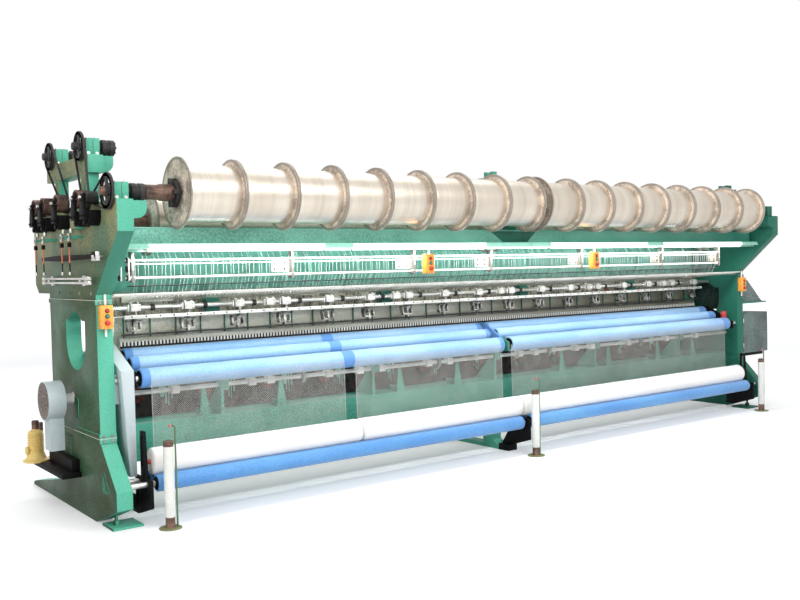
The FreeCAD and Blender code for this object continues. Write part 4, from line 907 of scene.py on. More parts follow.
class KNIT_OT_upper_stubs(bpy.types.Operator):
    """Builds the two upper belt wheels with their journals and open couplings."""
    bl_idname = "knit.upper_stubs"
    bl_label = "Upper stubs"

    def execute(self, context):
        for row_name, axis in (("upper_front", UPPER_FRONT_AXIS), ("upper_rear", UPPER_REAR_AXIS)):
            stub = left_journal(axis)
            coupling(stub, (-JOURNAL_X, -3862), axis)
            wheel(stub, WHEEL_XS, axis, UPPER_WHEEL_R)
            stub.place(row_name + "_stub_turned", ["dark oiled steel"], "flange_grey", row_name + "_stub",
                       body=row_name + "_wheel", bevel=0.8)
        dressed("beam_bearings", "frame_green", 4, "frame enamel")
        bolts = Shape()
        for x in (-4074, -4010):
            for (y, z), foot in ((FRONT_AXIS, 2370), (UPPER_FRONT_AXIS, 2735), (UPPER_REAR_AXIS, 2735)):
                bolts.hexagon((y - 62, y - 70), (x, foot + 14), 9, "Y")
                for off in (-40, 40):
                    bolts.hexagon((z + 62, z + 70), (x, y + off), 9, "Z")
        bolts.place("bearing_bolts", ["bright steel"], "bright_steel")
        return {"FINISHED"}


def belt_points(axis, r0, y1, r1, turns=26):
    """Corners round two pulleys; every side is a tangent."""
    y0, z0 = axis
    heading = math.atan2(DRUM_Z - z0, y1 - y0)
    lean = math.acos((r0 - r1) / math.hypot(y1 - y0, DRUM_Z - z0))
    points = []
    for y, z, r, start, sweep in ((y0, z0, r0, heading + lean, 2 * (math.pi - lean)),
                                  (y1, DRUM_Z, r1, heading - lean, 2 * lean)):
        step = sweep / turns
        for k in range(turns):
            angle, far = start + (k + 0.5) * step, r / math.cos(step / 2)
            points.append((y + far * math.cos(angle), z + far * math.sin(angle)))
    return points


class KNIT_OT_let_off(bpy.types.Operator):
    """Builds the let-off gear on the left end: gearboxes, drums, belts, lever and rods."""
    bl_idname = "knit.let_off"
    bl_label = "Let-off gear"

    def execute(self, context):
        self.cases()
        belts = Shape()
        for axis, r0, y1, r1 in ((FRONT_AXIS, WHEEL_R, PULLEY_Y, PULLEY_R),
                                 (UPPER_FRONT_AXIS, UPPER_WHEEL_R, DRUM_YS[0], DRUM_R),
                                 (UPPER_REAR_AXIS, UPPER_WHEEL_R, DRUM_YS[1], DRUM_R)):
            loops = [belt_points(axis, r0 + off, y1, r1 + off) for off in (0.4, 5.2)]
            count = len(loops[0])
            faces = []
            for i in range(count):
                a, b, c, d = range(i, 4 * count, count)
                e, f, g, h = range((i + 1) % count, 4 * count, count)
                faces += [(a, e, f, b), (c, d, h, g), (a, c, g, e), (b, f, h, d)]
            belts.shell([(x, *point) for x in (-4130, -4114) for loop in loops for point in loop], faces)
        belts.place("drive_belts_flat", ["black rubber"], "belt_black", "drive_belts")
        for number, y in enumerate(DRUM_YS, start=1):
            self.drum(y, DRUM_R).place(f"letoff_drum_{number}_turned", ["copper-brown drum", "bright steel"],
                                       "drum_copper", f"letoff_drum_{number}", body=f"drum_{number}")
        self.drum(PULLEY_Y, PULLEY_R).place("letoff_pulley_turned", ["dark oiled steel", "bright steel"],
                                            "black_paint", "letoff_pulley", body="pulley")
        dressed("pattern_lever", "black_paint", 2, "black paint", "bright steel", body="lever",
                paint=lambda spot: spot.y < -805)
        rods = Shape()
        for z in (1790, 1822):
            rods.tube([(-4159, -700, z), (-4159, 440, z)], ROD_R, 18)
            for y in (-690, 360):
                rods.block((-4172, -4146), (y, y + 70), (z - 13, z + 13))
                rods.hexagon((-4146, -4142), (y + 20, z), 6)
        rods.place("push_rods_turned", ["bright steel"], "bright_steel", "push_rods", body="rods", bevel=1.2)
        return {"FINISHED"}

    @staticmethod
    def cases():
        """Round-bottomed cast cases, their lugs, the feeler rods and the guides of the push rods."""
        shape = Shape()
        for y in (PULLEY_Y, *DRUM_YS):
            half_turn = [k * math.pi / 14 for k in range(15)]
            bowl = [(y + 58 * math.cos(angle), 2258 - 58 * math.sin(angle)) for angle in half_turn]
            for outline, span in (
                    (bowl + [(y - 58, 2300), (y - 48, 2310), (y + 48, 2310), (y + 58, 2300)], (-4190, -FRAME_OUT)),
                    ([(y - 44, 2310), (y + 44, 2310), (y + 40, 2250), (y + 22, 2226), (y - 22, 2226),
                      (y - 40, 2250)], (-4204, -4188)),
                    ([(y - 46, 2246), (y - 46, 2306), (y - 25, 2386), (y + 25, 2386), (y + 46, 2306),
                      (y + 46, 2246)], (-4224, -4204))):
                shape.plate(outline, span)
            shape.ring((-4224, -4204), (12.6, 27), (y, DRUM_Z), sides=28)
            for side in (-34, 34):
                shape.hexagon((-4230, -4223), (y + side, 2270), 8)
            shape.turn([(-4196, 18), (-4208, 22), (-4212, 16)], (y, 2222), sides=16)
        shape.slot = 1
        y, z = REAR_AXIS
        shape.block((-4174, -FRAME_OUT), (y - 60, y + 60), (z - 60, z + 50))
        shape.slot = 2
        for y in (-500, 260):
            shape.block((-4146, -FRAME_OUT), (y - 16, y + 16), (1768, 1844))
            shape.block((-4173, -4146), (y - 16, y + 16), (1800.4, 1811.6))
        shape.turn([(-4191, 9), (-4189, 10), (-FRAME_OUT, 10)], (-845, 1980), sides=20)
        for y in (-410, -233, 243, 450):
            shape.slot = 1
            shape.block((-4216, -FRAME_OUT), (y - 10, y + 10), (2122, 2144))
            shape.slot = 0
            shape.block((-4218, -4196), (y - 16, y + 16), (2058, 2092))
            shape.turn([(1852, 4.5), (1990, 4.5)], (-4207, y), "Z", 12)
            shape.slot = 2
            shape.block((-4216, -4198), (y - 15, y + 15), (2102, 2160))
            shape.turn([(2160, 10), (2163, 13), (2192, 13), (2196, 8)], (-4190, y), "Z", 16)
            shape.turn([(1850, 8), (1853, 10), (1872, 10), (1875, 6)], (-4207, y), "Z", 16)
            shape.slot = 3
            shape.turn([(1940, 5.5), (2102, 5.5)], (-4207, y), "Z", 12)
        shape.place("letoff_cases", ["black paint", "frame enamel", "bright steel", "orange rod"], "frame_green",
                    "letoff_gearboxes", bevel=1.5)

    @staticmethod
    def drum(y, r):
        """Flanged drum or pulley on its spindle."""
        at = (y, DRUM_Z)
        shape = Shape().turn([(-4150, 16), (-4150, r - 22), (-4188, r - 17), (-4200, r - 12), (-4202, r - 3),
                              (-4199, r), (-4188, r), (-4186, r - 4), (-4176, r - 4), (-4174, r), (-4136, r),
                              (-4132, r - 0.2), (-4112, r - 0.2)], at)
        shape.slot = 1
        return shape.turn([(-4242, 9), (-4239, 12), (-4186, 12)], at, sides=20)


class KNIT_OT_lamps(bpy.types.Operator):
    """Builds the lamp trough, its lit tubes and their holders."""
    bl_idname = "knit.lamps"
    bl_label = "Lamps"

    def execute(self, context):
        along = (-3974, 3974)
        trough = Shape().plate([(-800, 2065), (-930, 2065), (-944, 2028), (-938, 2026), (-925, 2058),
                                (-800, 2058)], along)
        trough.block(along, (-888, -884), (2007, 2060))
        trough.slot = 1
        for x in LAMP_XS:
            for end in (x - 770, x + 750):
                trough.block((end, end + 20), (-919, -891), (2006, 2058))
        trough.slot = 2
        trough.block(along, (-945, -941), (2026, 2030))
        trough.place("lamp_trough", ["trough enamel", "bright steel", "white enamel"], "lamp_white", "lamps",
                     bevel=1.5)
        tubes = Shape()
        for x in LAMP_XS:
            tubes.turn([(x - 750, 9), (x - 747, 13), (x + 747, 13), (x + 750, 9)], (-905, 2022), sides=20)
            # A reflector plate behind each tube glows with the tube's own finish: painted glare, as the plate
            # itself is no lamp.
            tubes.plate([(-889, 2008), (-893, 2008), (-940, 2028), (-944, 2034), (-938, 2060), (-930, 2060),
                         (-934, 2036), (-897, 2020), (-889, 2020)], (x - 748, x + 748))
        tubes.place("lamp_tubes", ["lit tube"], "lamp_white")
        return {"FINISHED"}


class KNIT_OT_yarn_path(bpy.types.Operator):
    """Builds the hangers, the tension rods, the eyelet rail and the hanging yarns."""
    bl_idname = "knit.yarn_path"
    bl_label = "Yarn path"

    def execute(self, context):
        self.hangers()
        bars = Shape()
        for z in TENSION_ZS:
            bars.tube([(-3920, TENSION_Y, z), (3440, TENSION_Y, z)], ROD_R, 18)
        bars.plate([(-690, 1690), (-690, 1702), (-630, 1702), (-630, 1678), (-636, 1678), (-636, 1690)],
                   (-FRAME_IN, FRAME_IN))
        bars.block((-3900, 3420), (-750, -742), (1916, 1924))
        bars.slot = 1
        bars.tube([(-3900, -738, 1758), (3420, -738, 1758)], 4.5, 10)
        bars.place("tension_rods", ["rubbed pale metal", "dark oiled steel"], "bright_steel", bevel=1)
        hook = Shape().tube([(0, -738, 1762), (0, -752, 1748), (0, -746, 1736), (0, -736, 1742)], 2.2, 5)
        hook.rows("lease_hooks", "dark oiled steel", "bright_steel", [(64, -3860, 114)])
        eye = Shape().ring((-1.5, 1.5), (3, 6), (0, 0), sides=8)
        eye.block((-1.5, 1.5), (-1.5, 1.5), (6, 26))
        eye.rows("yarn_eyelets", "bright steel", "bright_steel", [(228, -3860, 34, -694, 1672)])
        front = TENSION_Y - 9.5
        low = Shape().tube([(0, front, 1948), (0, front, 1818), (0, -694, 1672)], 1.4, 4)
        low.rows("yarns_low", "yarn strands", "yarn_silver", [(206, -3850, 35.2)], sway=14)
        high = Shape().tube([(0, -690, 2056), (0, front, 1948)], 1.4, 4)
        high.rows("yarns_high", "yarn strands", "yarn_silver", [(150, -3840, 48.2)], sway=22, seed=8)
        warp = Shape().tube([(0, -632, 1680), (60, -150, 1625), (66, -150, 1512)], 1.7, 4)
        warp.rows("warp_ends", "warp ends", "yarn_silver", [(420, -KNIT_HALF, 17.7)], sway=7, seed=5)
        covers = Shape()
        for a, b in ((-3720, -3260), (-2100, -1900), (-700, -480), (1200, 1420)):
            covers.plate([(a, 1618), (b - 30, 1618), (b, 1672), (a, 1672)], (-130, -122), "Y")
        covers.slot = 1
        for x in (-2960, -1140, 700, 2500):
            covers.plate([(-190, 1520), (-110, 1490), (-90, 1490), (-90, 1674), (-190, 1674), (-180, 1620),
                          (-194, 1606), (-194, 1546)], (x - 62, x + 62))
        covers.place("shaft_brackets", ["pale panel enamel", "inner enamel"], "girder_green", bevel=1)
        return {"FINISHED"}

    @staticmethod
    def hangers():
        """Hangers of the tension rods, with their clamp plates and the end plates of the rods."""
        shape = Shape()
        for x in HANGER_XS:
            shape.slot = 0
            shape.plate([(-784, 1786), (-728, 1786), (-728, 2065), (-764, 2065), (-784, 1990)], (x - 11, x + 11))
            shape.slot = 1
            for z in TENSION_ZS:
                shape.ring((x - 24, x + 24), (9.2, 17), (TENSION_Y, z), sides=20)
            for z in (1990, 1880):
                shape.hexagon((-784, -790), (x, z), 7, "Y")
        shape.place("yarn_hangers", ["grey steel", "bright steel"], "bright_steel", "yarn_guides", bevel=1.5)
        plates = Shape()
        for x in HANGER_XS[1:]:
            plates.slot = 0
            plates.plate([(x - 178, 1838), (x - 14, 1838), (x - 14, 1934), (x - 170, 1934), (x - 178, 1926)],
                         (-748, -744), "Y")
            plates.slot = 1
            for a in (-150, -60):
                for z in (1912, 1862):
                    plates.hexagon((-748, -754), (x + a, z), 7, "Y")
        for x in (-3965, -3906):
            plates.slot = 2
            plates.plate([(-790, 1800), (-736, 1800), (-736, 1972), (-778, 1972), (-790, 1950)], (x, x + 8))
            plates.slot = 1
            for z, r in ((1948, 22), (1884, 26), (1818, 22)):
                plates.turn([(x - 8, r - 4), (x - 6, r), (x, r)], (-762, z), sides=20)
        plates.place("hanger_plates", ["pale panel enamel", "dark oiled steel", "rubbed pale metal"],
                     "bright_steel", bevel=0.8)


class KNIT_OT_guide_arms(bpy.types.Operator):
    """Builds the rocking shaft with its cast arms, tie rail, clamps and guide bar."""
    bl_idname = "knit.guide_arms"
    bl_label = "Guide arms"

    def execute(self, context):
        y, z = GUIDE_AXIS
        steel = {"slot": "bright_steel", "body": "guide_rocker"}
        every_arm = (ARM_COUNT, ARM_START, ARM_PITCH, y, z)
        self.arm().rows("guide_arms_cast", "oily cast arms", "bright_steel", [every_arm], "guide_shaft",
                        body="guide_rocker", bevel=2)
        clamp = Shape().block((-41, 41), (-41.5, -22), (-26, 32))
        for x in (-28, 28):
            for level in (19, -16):
                clamp.hexagon((-40, -50), (x, level), 7, "Y")
            clamp.block((x - 8, x + 8), (-20, -4), (32, 44))
        clamp.block((-60, -48), (-26, 26), (-26, 26))
        clamp.rows("guide_clamps", "rubbed pale metal", runs=[
            every_arm, (5, ARM_START + 2.66 * ARM_PITCH, 3 * ARM_PITCH, y, z)], bevel=1.2, **steel)
        collar = Shape().turn([(-18, 25), (-16, 27), (16, 27), (18, 25)], (0, 0), sides=20)
        collar.rows("guide_collars", "dark oiled steel", runs=[(16, ARM_START + 150, ARM_PITCH, y, z)], **steel)
        shaft = Shape().tube([(-CROSS_SHAFT_HALF, y, z), (CROSS_SHAFT_HALF, y, z)], 19.9, 28)
        shaft.place("guide_shaft_ground", ["bright steel"], **steel)
        rail = Shape().block((-KNIT_HALF, KNIT_HALF), (y - 68, y - 40), (z - 84, z - 56))
        for i in range(ARM_COUNT):
            rail.hexagon((y - 68, y - 74), (ARM_START + i * ARM_PITCH, z - 70), 7, "Y")
        rail.place("tie_rail", ["rubbed pale metal"], bevel=2, **steel)
        dot = Shape().hexagon((y - 68, y - 72), (0, z - 68), 5, "Y")
        dot.rows("rail_bolts", "dark oiled steel", runs=[(64, -3700, 117)], **steel)
        bar = Shape().block((-KNIT_HALF, KNIT_HALF), (-232, -198), (1357.2, 1370.6))
        bar.place("guide_bar_ground", ["dark oiled steel"], "comb_steel", "guide_bar", body="guide_slider", bevel=1)
        return {"FINISHED"}

    @staticmethod
    def arm():
        """Cast arm round the axis at 0: web, two cheeks, pads and the hooked shoe that holds the bar."""
        arm = Shape().plate([(36, -30), (44, -70), (60, -96), (60, -120), (40, -190), (36, -196), (36, -230),
                             (20, -230), (20, -220.4), (22.4, -220.4), (22.4, -206.2), (-12, -206.2), (-12, -188),
                             (-4, -150), (4, -112), (-20, -98), (-39.6, -92), (-39.6, -30)], (-9, 9))
        arm.plate([(40, -100), (60, -100), (58, -120), (38, -188), (28, -188), (44, -124)], (-15, 15))
        for x in ((-58, -46), (46, 58)):
            arm.plate([(-18, -99), (56, -99), (56, -120), (37, -187), (-10, -187), (-2, -150), (6, -112)], x)
        arm.block((-58, 58), (8, 52), (-112, -104))
        arm.block((-58, 58), (-8, 34), (-187, -174))
        arm.plate([(-50, -180), (-34, -180), (50, -108), (34, -108)], (10, 18), "Y")
        arm.block((-14, 14), (-39.6, -20), (-92, -48))
        arm.turn([(-42, 34), (-40, 36), (40, 36), (42, 34)], (0, 0), sides=28)
        return arm.block((-38, 38), (-40, -16), (-28, 34))


class KNIT_OT_needles(bpy.types.Operator):
    """Builds the comb with its teeth, the needle bar and the cam shaft behind the net."""
    bl_idname = "knit.needles"
    bl_label = "Needles and comb"

    def execute(self, context):
        across = (-KNIT_HALF, KNIT_HALF)
        comb = Shape().plate([(-163, 1200), (-150, 1200), (-150, 1340), (-168, 1340), (-170, 1336), (-170, 1306),
                              (-163, 1302)], across)
        comb.place("comb_plate", ["pale panel enamel"], "comb_steel", "needle_comb", bevel=1)
        tooth = Shape().plate([(-7, 1272), (7, 1272), (7, 1306), (-7, 1306)], (-170, -160), "Y")
        tooth.rows("comb_teeth", "white enamel", "comb_steel", [(251, -3750, 30)], bevel=0.8)
        rail = Shape().block(across, (-165.5, -162.5), (1252, 1302)).block(across, (-194, -164), (1222, 1248))
        rail.place("comb_rail", ["dark oiled steel"], "comb_steel", bevel=1)
        needle = Shape().block((-1.2, 1.2), (-147, -144), (1268, 1331))
        needle.tube([(0, -145.5, 1329), (0, -148, 1331.6), (0, -149, 1329)], 0.6, 4)
        needle.rows("needle_row", "bright steel", "bright_steel", [(496, -3712, 15)], "needle_bar", body="needles")
        bed = Shape().block((-3720, 3720), (-149.6, -138.8), (1260, 1292))
        bed.place("needle_bed", ["grey steel"], "bright_steel", body="needles", bevel=1)
        y, z = CAM_AXIS
        cams = Shape().tube([(-CROSS_SHAFT_HALF, y, z), (CROSS_SHAFT_HALF, y, z)], 18, 24)
        cams.slot = 1
        for x in (-2272.5, -757.5, 757.5, 2272.5):
            cams.turn([(x - 16, 57), (x - 14, 60), (x + 14, 60), (x + 16, 57)], (y + 14, z), sides=32)
        cams.slot = 2
        for x in (-3449, -2769, -2593, -2009, -1676, -1435, -880, -620, 330, 560, 1180, 1440, 2060, 2760, 3340):
            cams.block((x - 34, x + 34), (y - 33, y + 33), (z - 30, z + 30))
            for a in (-20, 20):
                cams.hexagon((y - 33, y - 41), (x + a, z), 7, "Y")
        cams.place("cam_shaft_turned", ["rubbed pale metal", "grey steel", "rubbed pale metal"], "bright_steel",
                   "cam_shaft", body="cams", bevel=0.8)
        return {"FINISHED"}


class KNIT_OT_rollers(bpy.types.Operator):
    """Builds the take-down and batching rollers with their stands."""
    bl_idname = "knit.rollers"
    bl_label = "Rollers"

    def execute(self, context):
        rounding = context.scene.knit_rollers.end_rounding / MM
        take_down, batching = "take-down covering", "batching covering"
        for node, body, (y, z, r), cloth in (
                ("takedown_roller_a", "roller_a", ROLLER_A, take_down),
                ("takedown_roller_b", "roller_b", ROLLER_B, take_down),
                ("takedown_roller_c", "roller_c", ROLLER_C, take_down),
                ("batch_roller_front", "batch_front", BATCH_FRONT, batching),
                ("batch_roller_rear", "batch_rear", BATCH_REAR, batching)):
            shape = Shape()
            steps = [(rounding * (1 - math.cos(a)), r - rounding * (1 - math.sin(a))) for a in (0, 0.5, 1.05, 1.57)]
            for start, end in ((-ROLLER_HALF, -ROLLER_GAP), (ROLLER_GAP, ROLLER_HALF)):
                shape.slot = 0
                profile = [(start + d, q) for d, q in steps] + [(end - d, q) for d, q in reversed(steps)]
                shape.turn(profile, (y, z), sides=56)
                shape.slot = 1
                for x, way in ((start, -1), (end, 1)):
                    shape.turn(sorted([(x - way * 2, r - rounding - 1), (x + way * 1.2, r - rounding - 3)]), (y, z))
                    shape.turn(sorted([(x, 33), (x + way * 12, 31)]), (y, z), sides=24)
            shape.slot = 2
            for x0, x1 in ((-3976, -ROLLER_HALF), (-ROLLER_GAP, ROLLER_GAP), (ROLLER_HALF, 3976)):
                shape.turn([(x0, 21.9), (x1, 21.9)], (y, z), sides=24)
            shape.place(node + "_covered", [cloth, "black paint", "bright steel"], "roller_blue", node, body=body)
        dressed("roller_stands", "black_paint", 2, "black paint", "red dome", take_down, "girder enamel",
                paint=self.paint)
        dressed("gear_cover", "cover_mint", 4, "blue-grey sheet enamel")
        return {"FINISHED"}

    @staticmethod
    def paint(spot):
        """The dome at the right end, the covers and the hanger of the middle arms, and the black rest."""
        if spot.x > 3800 and abs(spot.y + 540) < 36 and spot.z > 1148:
            return 1
        if abs(spot.x) < 58 and spot.z > 975:
            return 2 if spot.y > -490 and spot.z > 1120 else 3
        return 0


class KNIT_OT_netting(bpy.types.Operator):
    """Builds the three hanging nets and the three wound rolls."""
    bl_idname = "knit.netting"
    bl_label = "Netting"

    def execute(self, context):
        sizes = context.scene.knit_net
        for number, (x0, x1) in enumerate(NET_SPANS, start=1):
            obj, area = self.net(f"net_panel_{number}", x0 * MM, x1 * MM, sizes)
            place(obj, "machine", "net", *(("net_panels",) if number == 1 else ()))
        rolls = Shape()
        for x0, x1 in ROLL_SPANS:
            steps = [(0, 34), (1.5, 60), (3, 84), (9, 96), (20, 101)]
            wavy = [(x0 + 20 + (x1 - x0 - 40) * k / 24, 101.2 + 0.6 * math.sin(2.1 * k)) for k in range(1, 24)]
            profile = [(x0 + a, r) for a, r in steps] + wavy + [(x1 - a, r) for a, r in reversed(steps)]
            rolls.turn(profile, ROLL_AXIS, sides=56)
        rolls.slot = 1
        for a, b in ((-3818, -3790), (-1931, -1917), (-21, -7), (3748, 3776)):
            rolls.turn([(a, 14), (a + 2, 17), (b - 2, 17), (b, 14)], ROLL_AXIS, sides=20)
        rolls.place("net_rolls_wound", ["wound net", "red core"], "net", "net_rolls", body="rolls")
        return {"FINISHED"}

    @staticmethod
    def net(name, x0, x1, sizes):
        """Diamond mesh of flat threads between roller and roll, with plain selvedges."""
        start = Vector((0, NET_TOP[0] * MM, NET_TOP[1] * MM))
        run = Vector((0, NET_FOOT[0] * MM, NET_FOOT[1] * MM)) - start
        columns = round((x1 - x0) / sizes.mesh_width)
        levels = round(run.length / sizes.mesh_height) * 2
        pitch, half = (x1 - x0) / columns, sizes.thread / 2
        verts, faces = [], []
        for column in range(columns + 1):
            first = len(verts)
            for level in range(levels + 1):
                side = pitch * 0.36 * (1 if (level + column) % 2 else -1)
                x = min(max(x0 + column * pitch + side, x0 + half), x1 - half)
                spot = start + run * (level / levels)
                verts += [(x - half, spot.y, spot.z), (x + half, spot.y, spot.z)]
                if level:
                    a = first + 2 * level
                    faces.append((a - 2, a, a + 1, a - 1))
        end = start + run
        for near in (x0, x1 - 4 * half):
            far = near + 4 * half
            a = len(verts)
            verts += [(x, spot.y, spot.z) for x, spot in ((near, start), (far, start), (far, end), (near, end))]
            faces.append((a, a + 3, a + 2, a + 1))
        mesh = bpy.data.meshes.new(name)
        mesh.from_pydata(verts, [], faces)
        mesh.materials.append(finish("net thread"))
        return linked(name, mesh), sum(face.area for face in mesh.polygons)


class KNIT_OT_drive(bpy.types.Operator):
    """Builds the platform, the belt guard and the yellow reducer."""
    bl_idname = "knit.drive"
    bl_label = "Main drive"

    def execute(self, context):
        y, z = at = (-50, 886)
        drum = [(-4333, 146), (-4335, 148), (-4333, 150), (-4202, 150), (-4200, 148), (-4200, 44)]
        guard = Shape().turn(drum, at, sides=56)
        guard.block((-4309, -4200), (y - 70, y + 70), (500, z))
        guard.slot = 1
        guard.turn([(-4334.5, 143), (-4331, 145)], at, sides=56)
        guard.slot = 2
        guard.turn([(-4200, 46), (-4196, 40), (-4110, 40), (-FRAME_OUT, 50)], at, sides=32)
        guard.slot = 3
        guard.block((-4250, -FRAME_OUT), (-190, 620), (286, 325))
        guard.block((-4164, -FRAME_OUT), (-150, 430), (325, 420))
        guard.place("drive_guard", ["blue-grey sheet enamel", "rusty guard face", "white enamel", "black paint"],
                    "black_paint", "drive_platform", bevel=3)
        x, y, foot = -4250, 495, 325
        bell = [(0, 103), (3, 105), (14, 105), (18, 101), (24, 84), (34, 78), (50, 72), (66, 66), (78, 61)]
        ribs = [(86 + 21 * k + a, r) for k in range(7) for a, r in ((0, 56), (2, 65), (11, 65), (13, 56))]
        crown = [(234, 60), (246, 56), (256, 44), (262, 34), (268, 30)]
        reducer = Shape().turn([(foot + a, r) for a, r in bell + ribs + crown], (x, y), "Z")
        for ray, _ in rays(8, 0.3):
            reducer.hexagon((foot + 12, foot + 19), tuple(Vector((x, y)) + ray * 92), 7, "Z")
        reducer.turn([(x - 82, 30), (x - 80, 34), (x - 66, 34), (x - 60, 30)], (y, foot + 96), "X", 28)
        reducer.turn([(x - 84, 10), (x - 80, 12)], (y, foot + 96), "X", 16)
        reducer.slot = 1
        neck = ((266, 27), (270, 29), (330, 29), (337, 24), (339, 14))
        reducer.turn([(foot + a, r) for a, r in neck], (x, y), "Z", 32)
        reducer.block((x + 34, x + 58), (y - 14, y + 14), (foot + 236, foot + 318))
        reducer.place("gear_reducer_bell", ["yellow enamel", "rusty metal"], "reducer_yellow", "gear_reducer",
                      bevel=1)
        return {"FINISHED"}


class KNIT_OT_controls(bpy.types.Operator):
    """Builds the four control boxes with their conduits and twelve push buttons."""
    bl_idname = "knit.controls"
    bl_label = "Controls"

    def execute(self, context):
        boxes = Shape()
        for name, (x, y, z) in BOX_PLACES.items():
            low, top = z - 86, z + 86
            boxes.slot = 0
            boxes.plate([(x - 48, y), (x - 48, y - 54), (x - 40, y - 61.5), (x + 40, y - 61.5), (x + 48, y - 54),
                         (x + 48, y)], (low, top), "Z")
            boxes.slot = 1
            for up in (46, 6):
                boxes.ring((y - 66, y - 61), (11.6, 17), (x, z + up), "Y", 24)
            boxes.ring((y - 64, y - 61), (8.6, 19), (x, z - 42), "Y", 24)
            boxes.slot = 2
            for a in (-38, 38):
                for b in (-76, 76):
                    boxes.turn([(y - 64, 3.5), (y - 61, 4)], (x + a, z + b), "Y", 10)
            boxes.slot = 3
            middle = name.startswith("mid")
            for a, b in [(top, 2026)] if middle else [(top, top + 80), (low - 60, low)]:
                boxes.turn([(a, ROD_R), (b, ROD_R)], (x, -941 if middle else y - 22), "Z", 18)
        boxes.place("control_boxes_moulded", ["orange box", "black rubber", "bright steel", "white enamel"],
                    "box_orange", "control_boxes", bevel=2)
        mushroom = ((-22, 6), (-21, 13), (-18, 17.5), (-13, 19), (-9, 17), (-8, 8), (8, 8))
        flush = ((-10, 8), (-9, 10.2), (-7, 10.9), (8, 10.9))
        for name, (x, y, z) in BOX_PLACES.items():
            for kind, up, tint, profile in (("start", 46, "red", flush), ("creep", 6, "teal", flush),
                                            ("stop", -42, "red", mushroom)):
                cap = Shape().turn([(y - 62 + a, r) for a, r in profile], (x, z + up), "Y", 28)
                node = f"button_{name}_{kind}"
                cap.place(node + "_cap", [tint + " button"], "button_" + tint, node, body=node + "_body")
        return {"FINISHED"}


class KNIT_OT_cabinet(bpy.types.Operator):
    """Builds the switch cabinet, its door, the console and the tray."""
    bl_idname = "knit.cabinet"
    bl_label = "Cabinet"

    def execute(self, context):
        dressed("cabinet_body", "cover_mint", 2.5, "grey sheet enamel", "girder enamel", "black paint",
                paint=self.paint)
        dressed("cabinet_door", "cover_mint", 3, "grey sheet enamel", body="door")
        low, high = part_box("cabinet_door")
        x0, x1 = low.x / MM, high.x / MM
        trim = Shape()
        for x, z in (((x0 + 14, x1 - 14), (1150, 1156)), ((x0 + 14, x1 - 14), (676, 682)),
                     ((x0 + 14, x0 + 20), (676, 1156)), ((x1 - 20, x1 - 14), (676, 1156))):
            trim.block(x, (-643, -640), z)
        trim.slot = 1
        for z in (760, 1072):
            trim.turn([(z - 26, 7), (z + 26, 7)], (x0 + 4, -642), "Z", 12)
        trim.place("cabinet_door_trim", ["grey sheet enamel", "bright steel"], "cover_mint", body="door", bevel=1)
        return {"FINISHED"}

    @staticmethod
    def paint(spot):
        """The green console, the black rails under the cabinet, and its grey rest."""
        if 1171 < spot.z < 1311 and spot.y > -641:
            return 1
        return 2 if spot.z < 661 else 0


class KNIT_OT_posts(bpy.types.Operator):
    """Builds the three guard posts on the floor."""
    bl_idname = "knit.posts"
    bl_label = "Guard posts"

    def execute(self, context):
        shape = Shape()
        for x in POST_XS:
            rings = (([(0, 84), (4, 84), (9, 78)], 0, 36), ([(9, 40), (14, 36), (74, 34), (84, 38)], 1, 28),
                     ([(596, 37), (634, 34), (640, 28)], 1, 28),
                     ([(84, 37), (86, 38), (596, 38), (598, 37)], 2, 32))
            for profile, shape.slot, sides in rings:
                shape.turn(profile, (x, POST_Y), "Z", sides)
            shape.slot = 3
            bend = [(x + 37 + 18 * math.cos(a), POST_Y, 727 + 18 * math.sin(a)) for a in (0, 0.5, 1.0, 1.57)]
            shape.tube([(x + 55, POST_Y, 9), (x + 55, POST_Y, 700), *bend, (x + 22, POST_Y, 746)], 6.8, 12)
            shape.slot = 4
            shape.turn([(x + 10, 9), (x + 12, 12), (x + 24, 12), (x + 26, 9)], (POST_Y, 746), "X", 16)
        shape.place("guard_posts_turned", ["green brass", "rusty metal", "white enamel", "rod enamel", "pink knob"],
                    "lamp_white", "guard_posts", bevel=0.8)
        return {"FINISHED"}


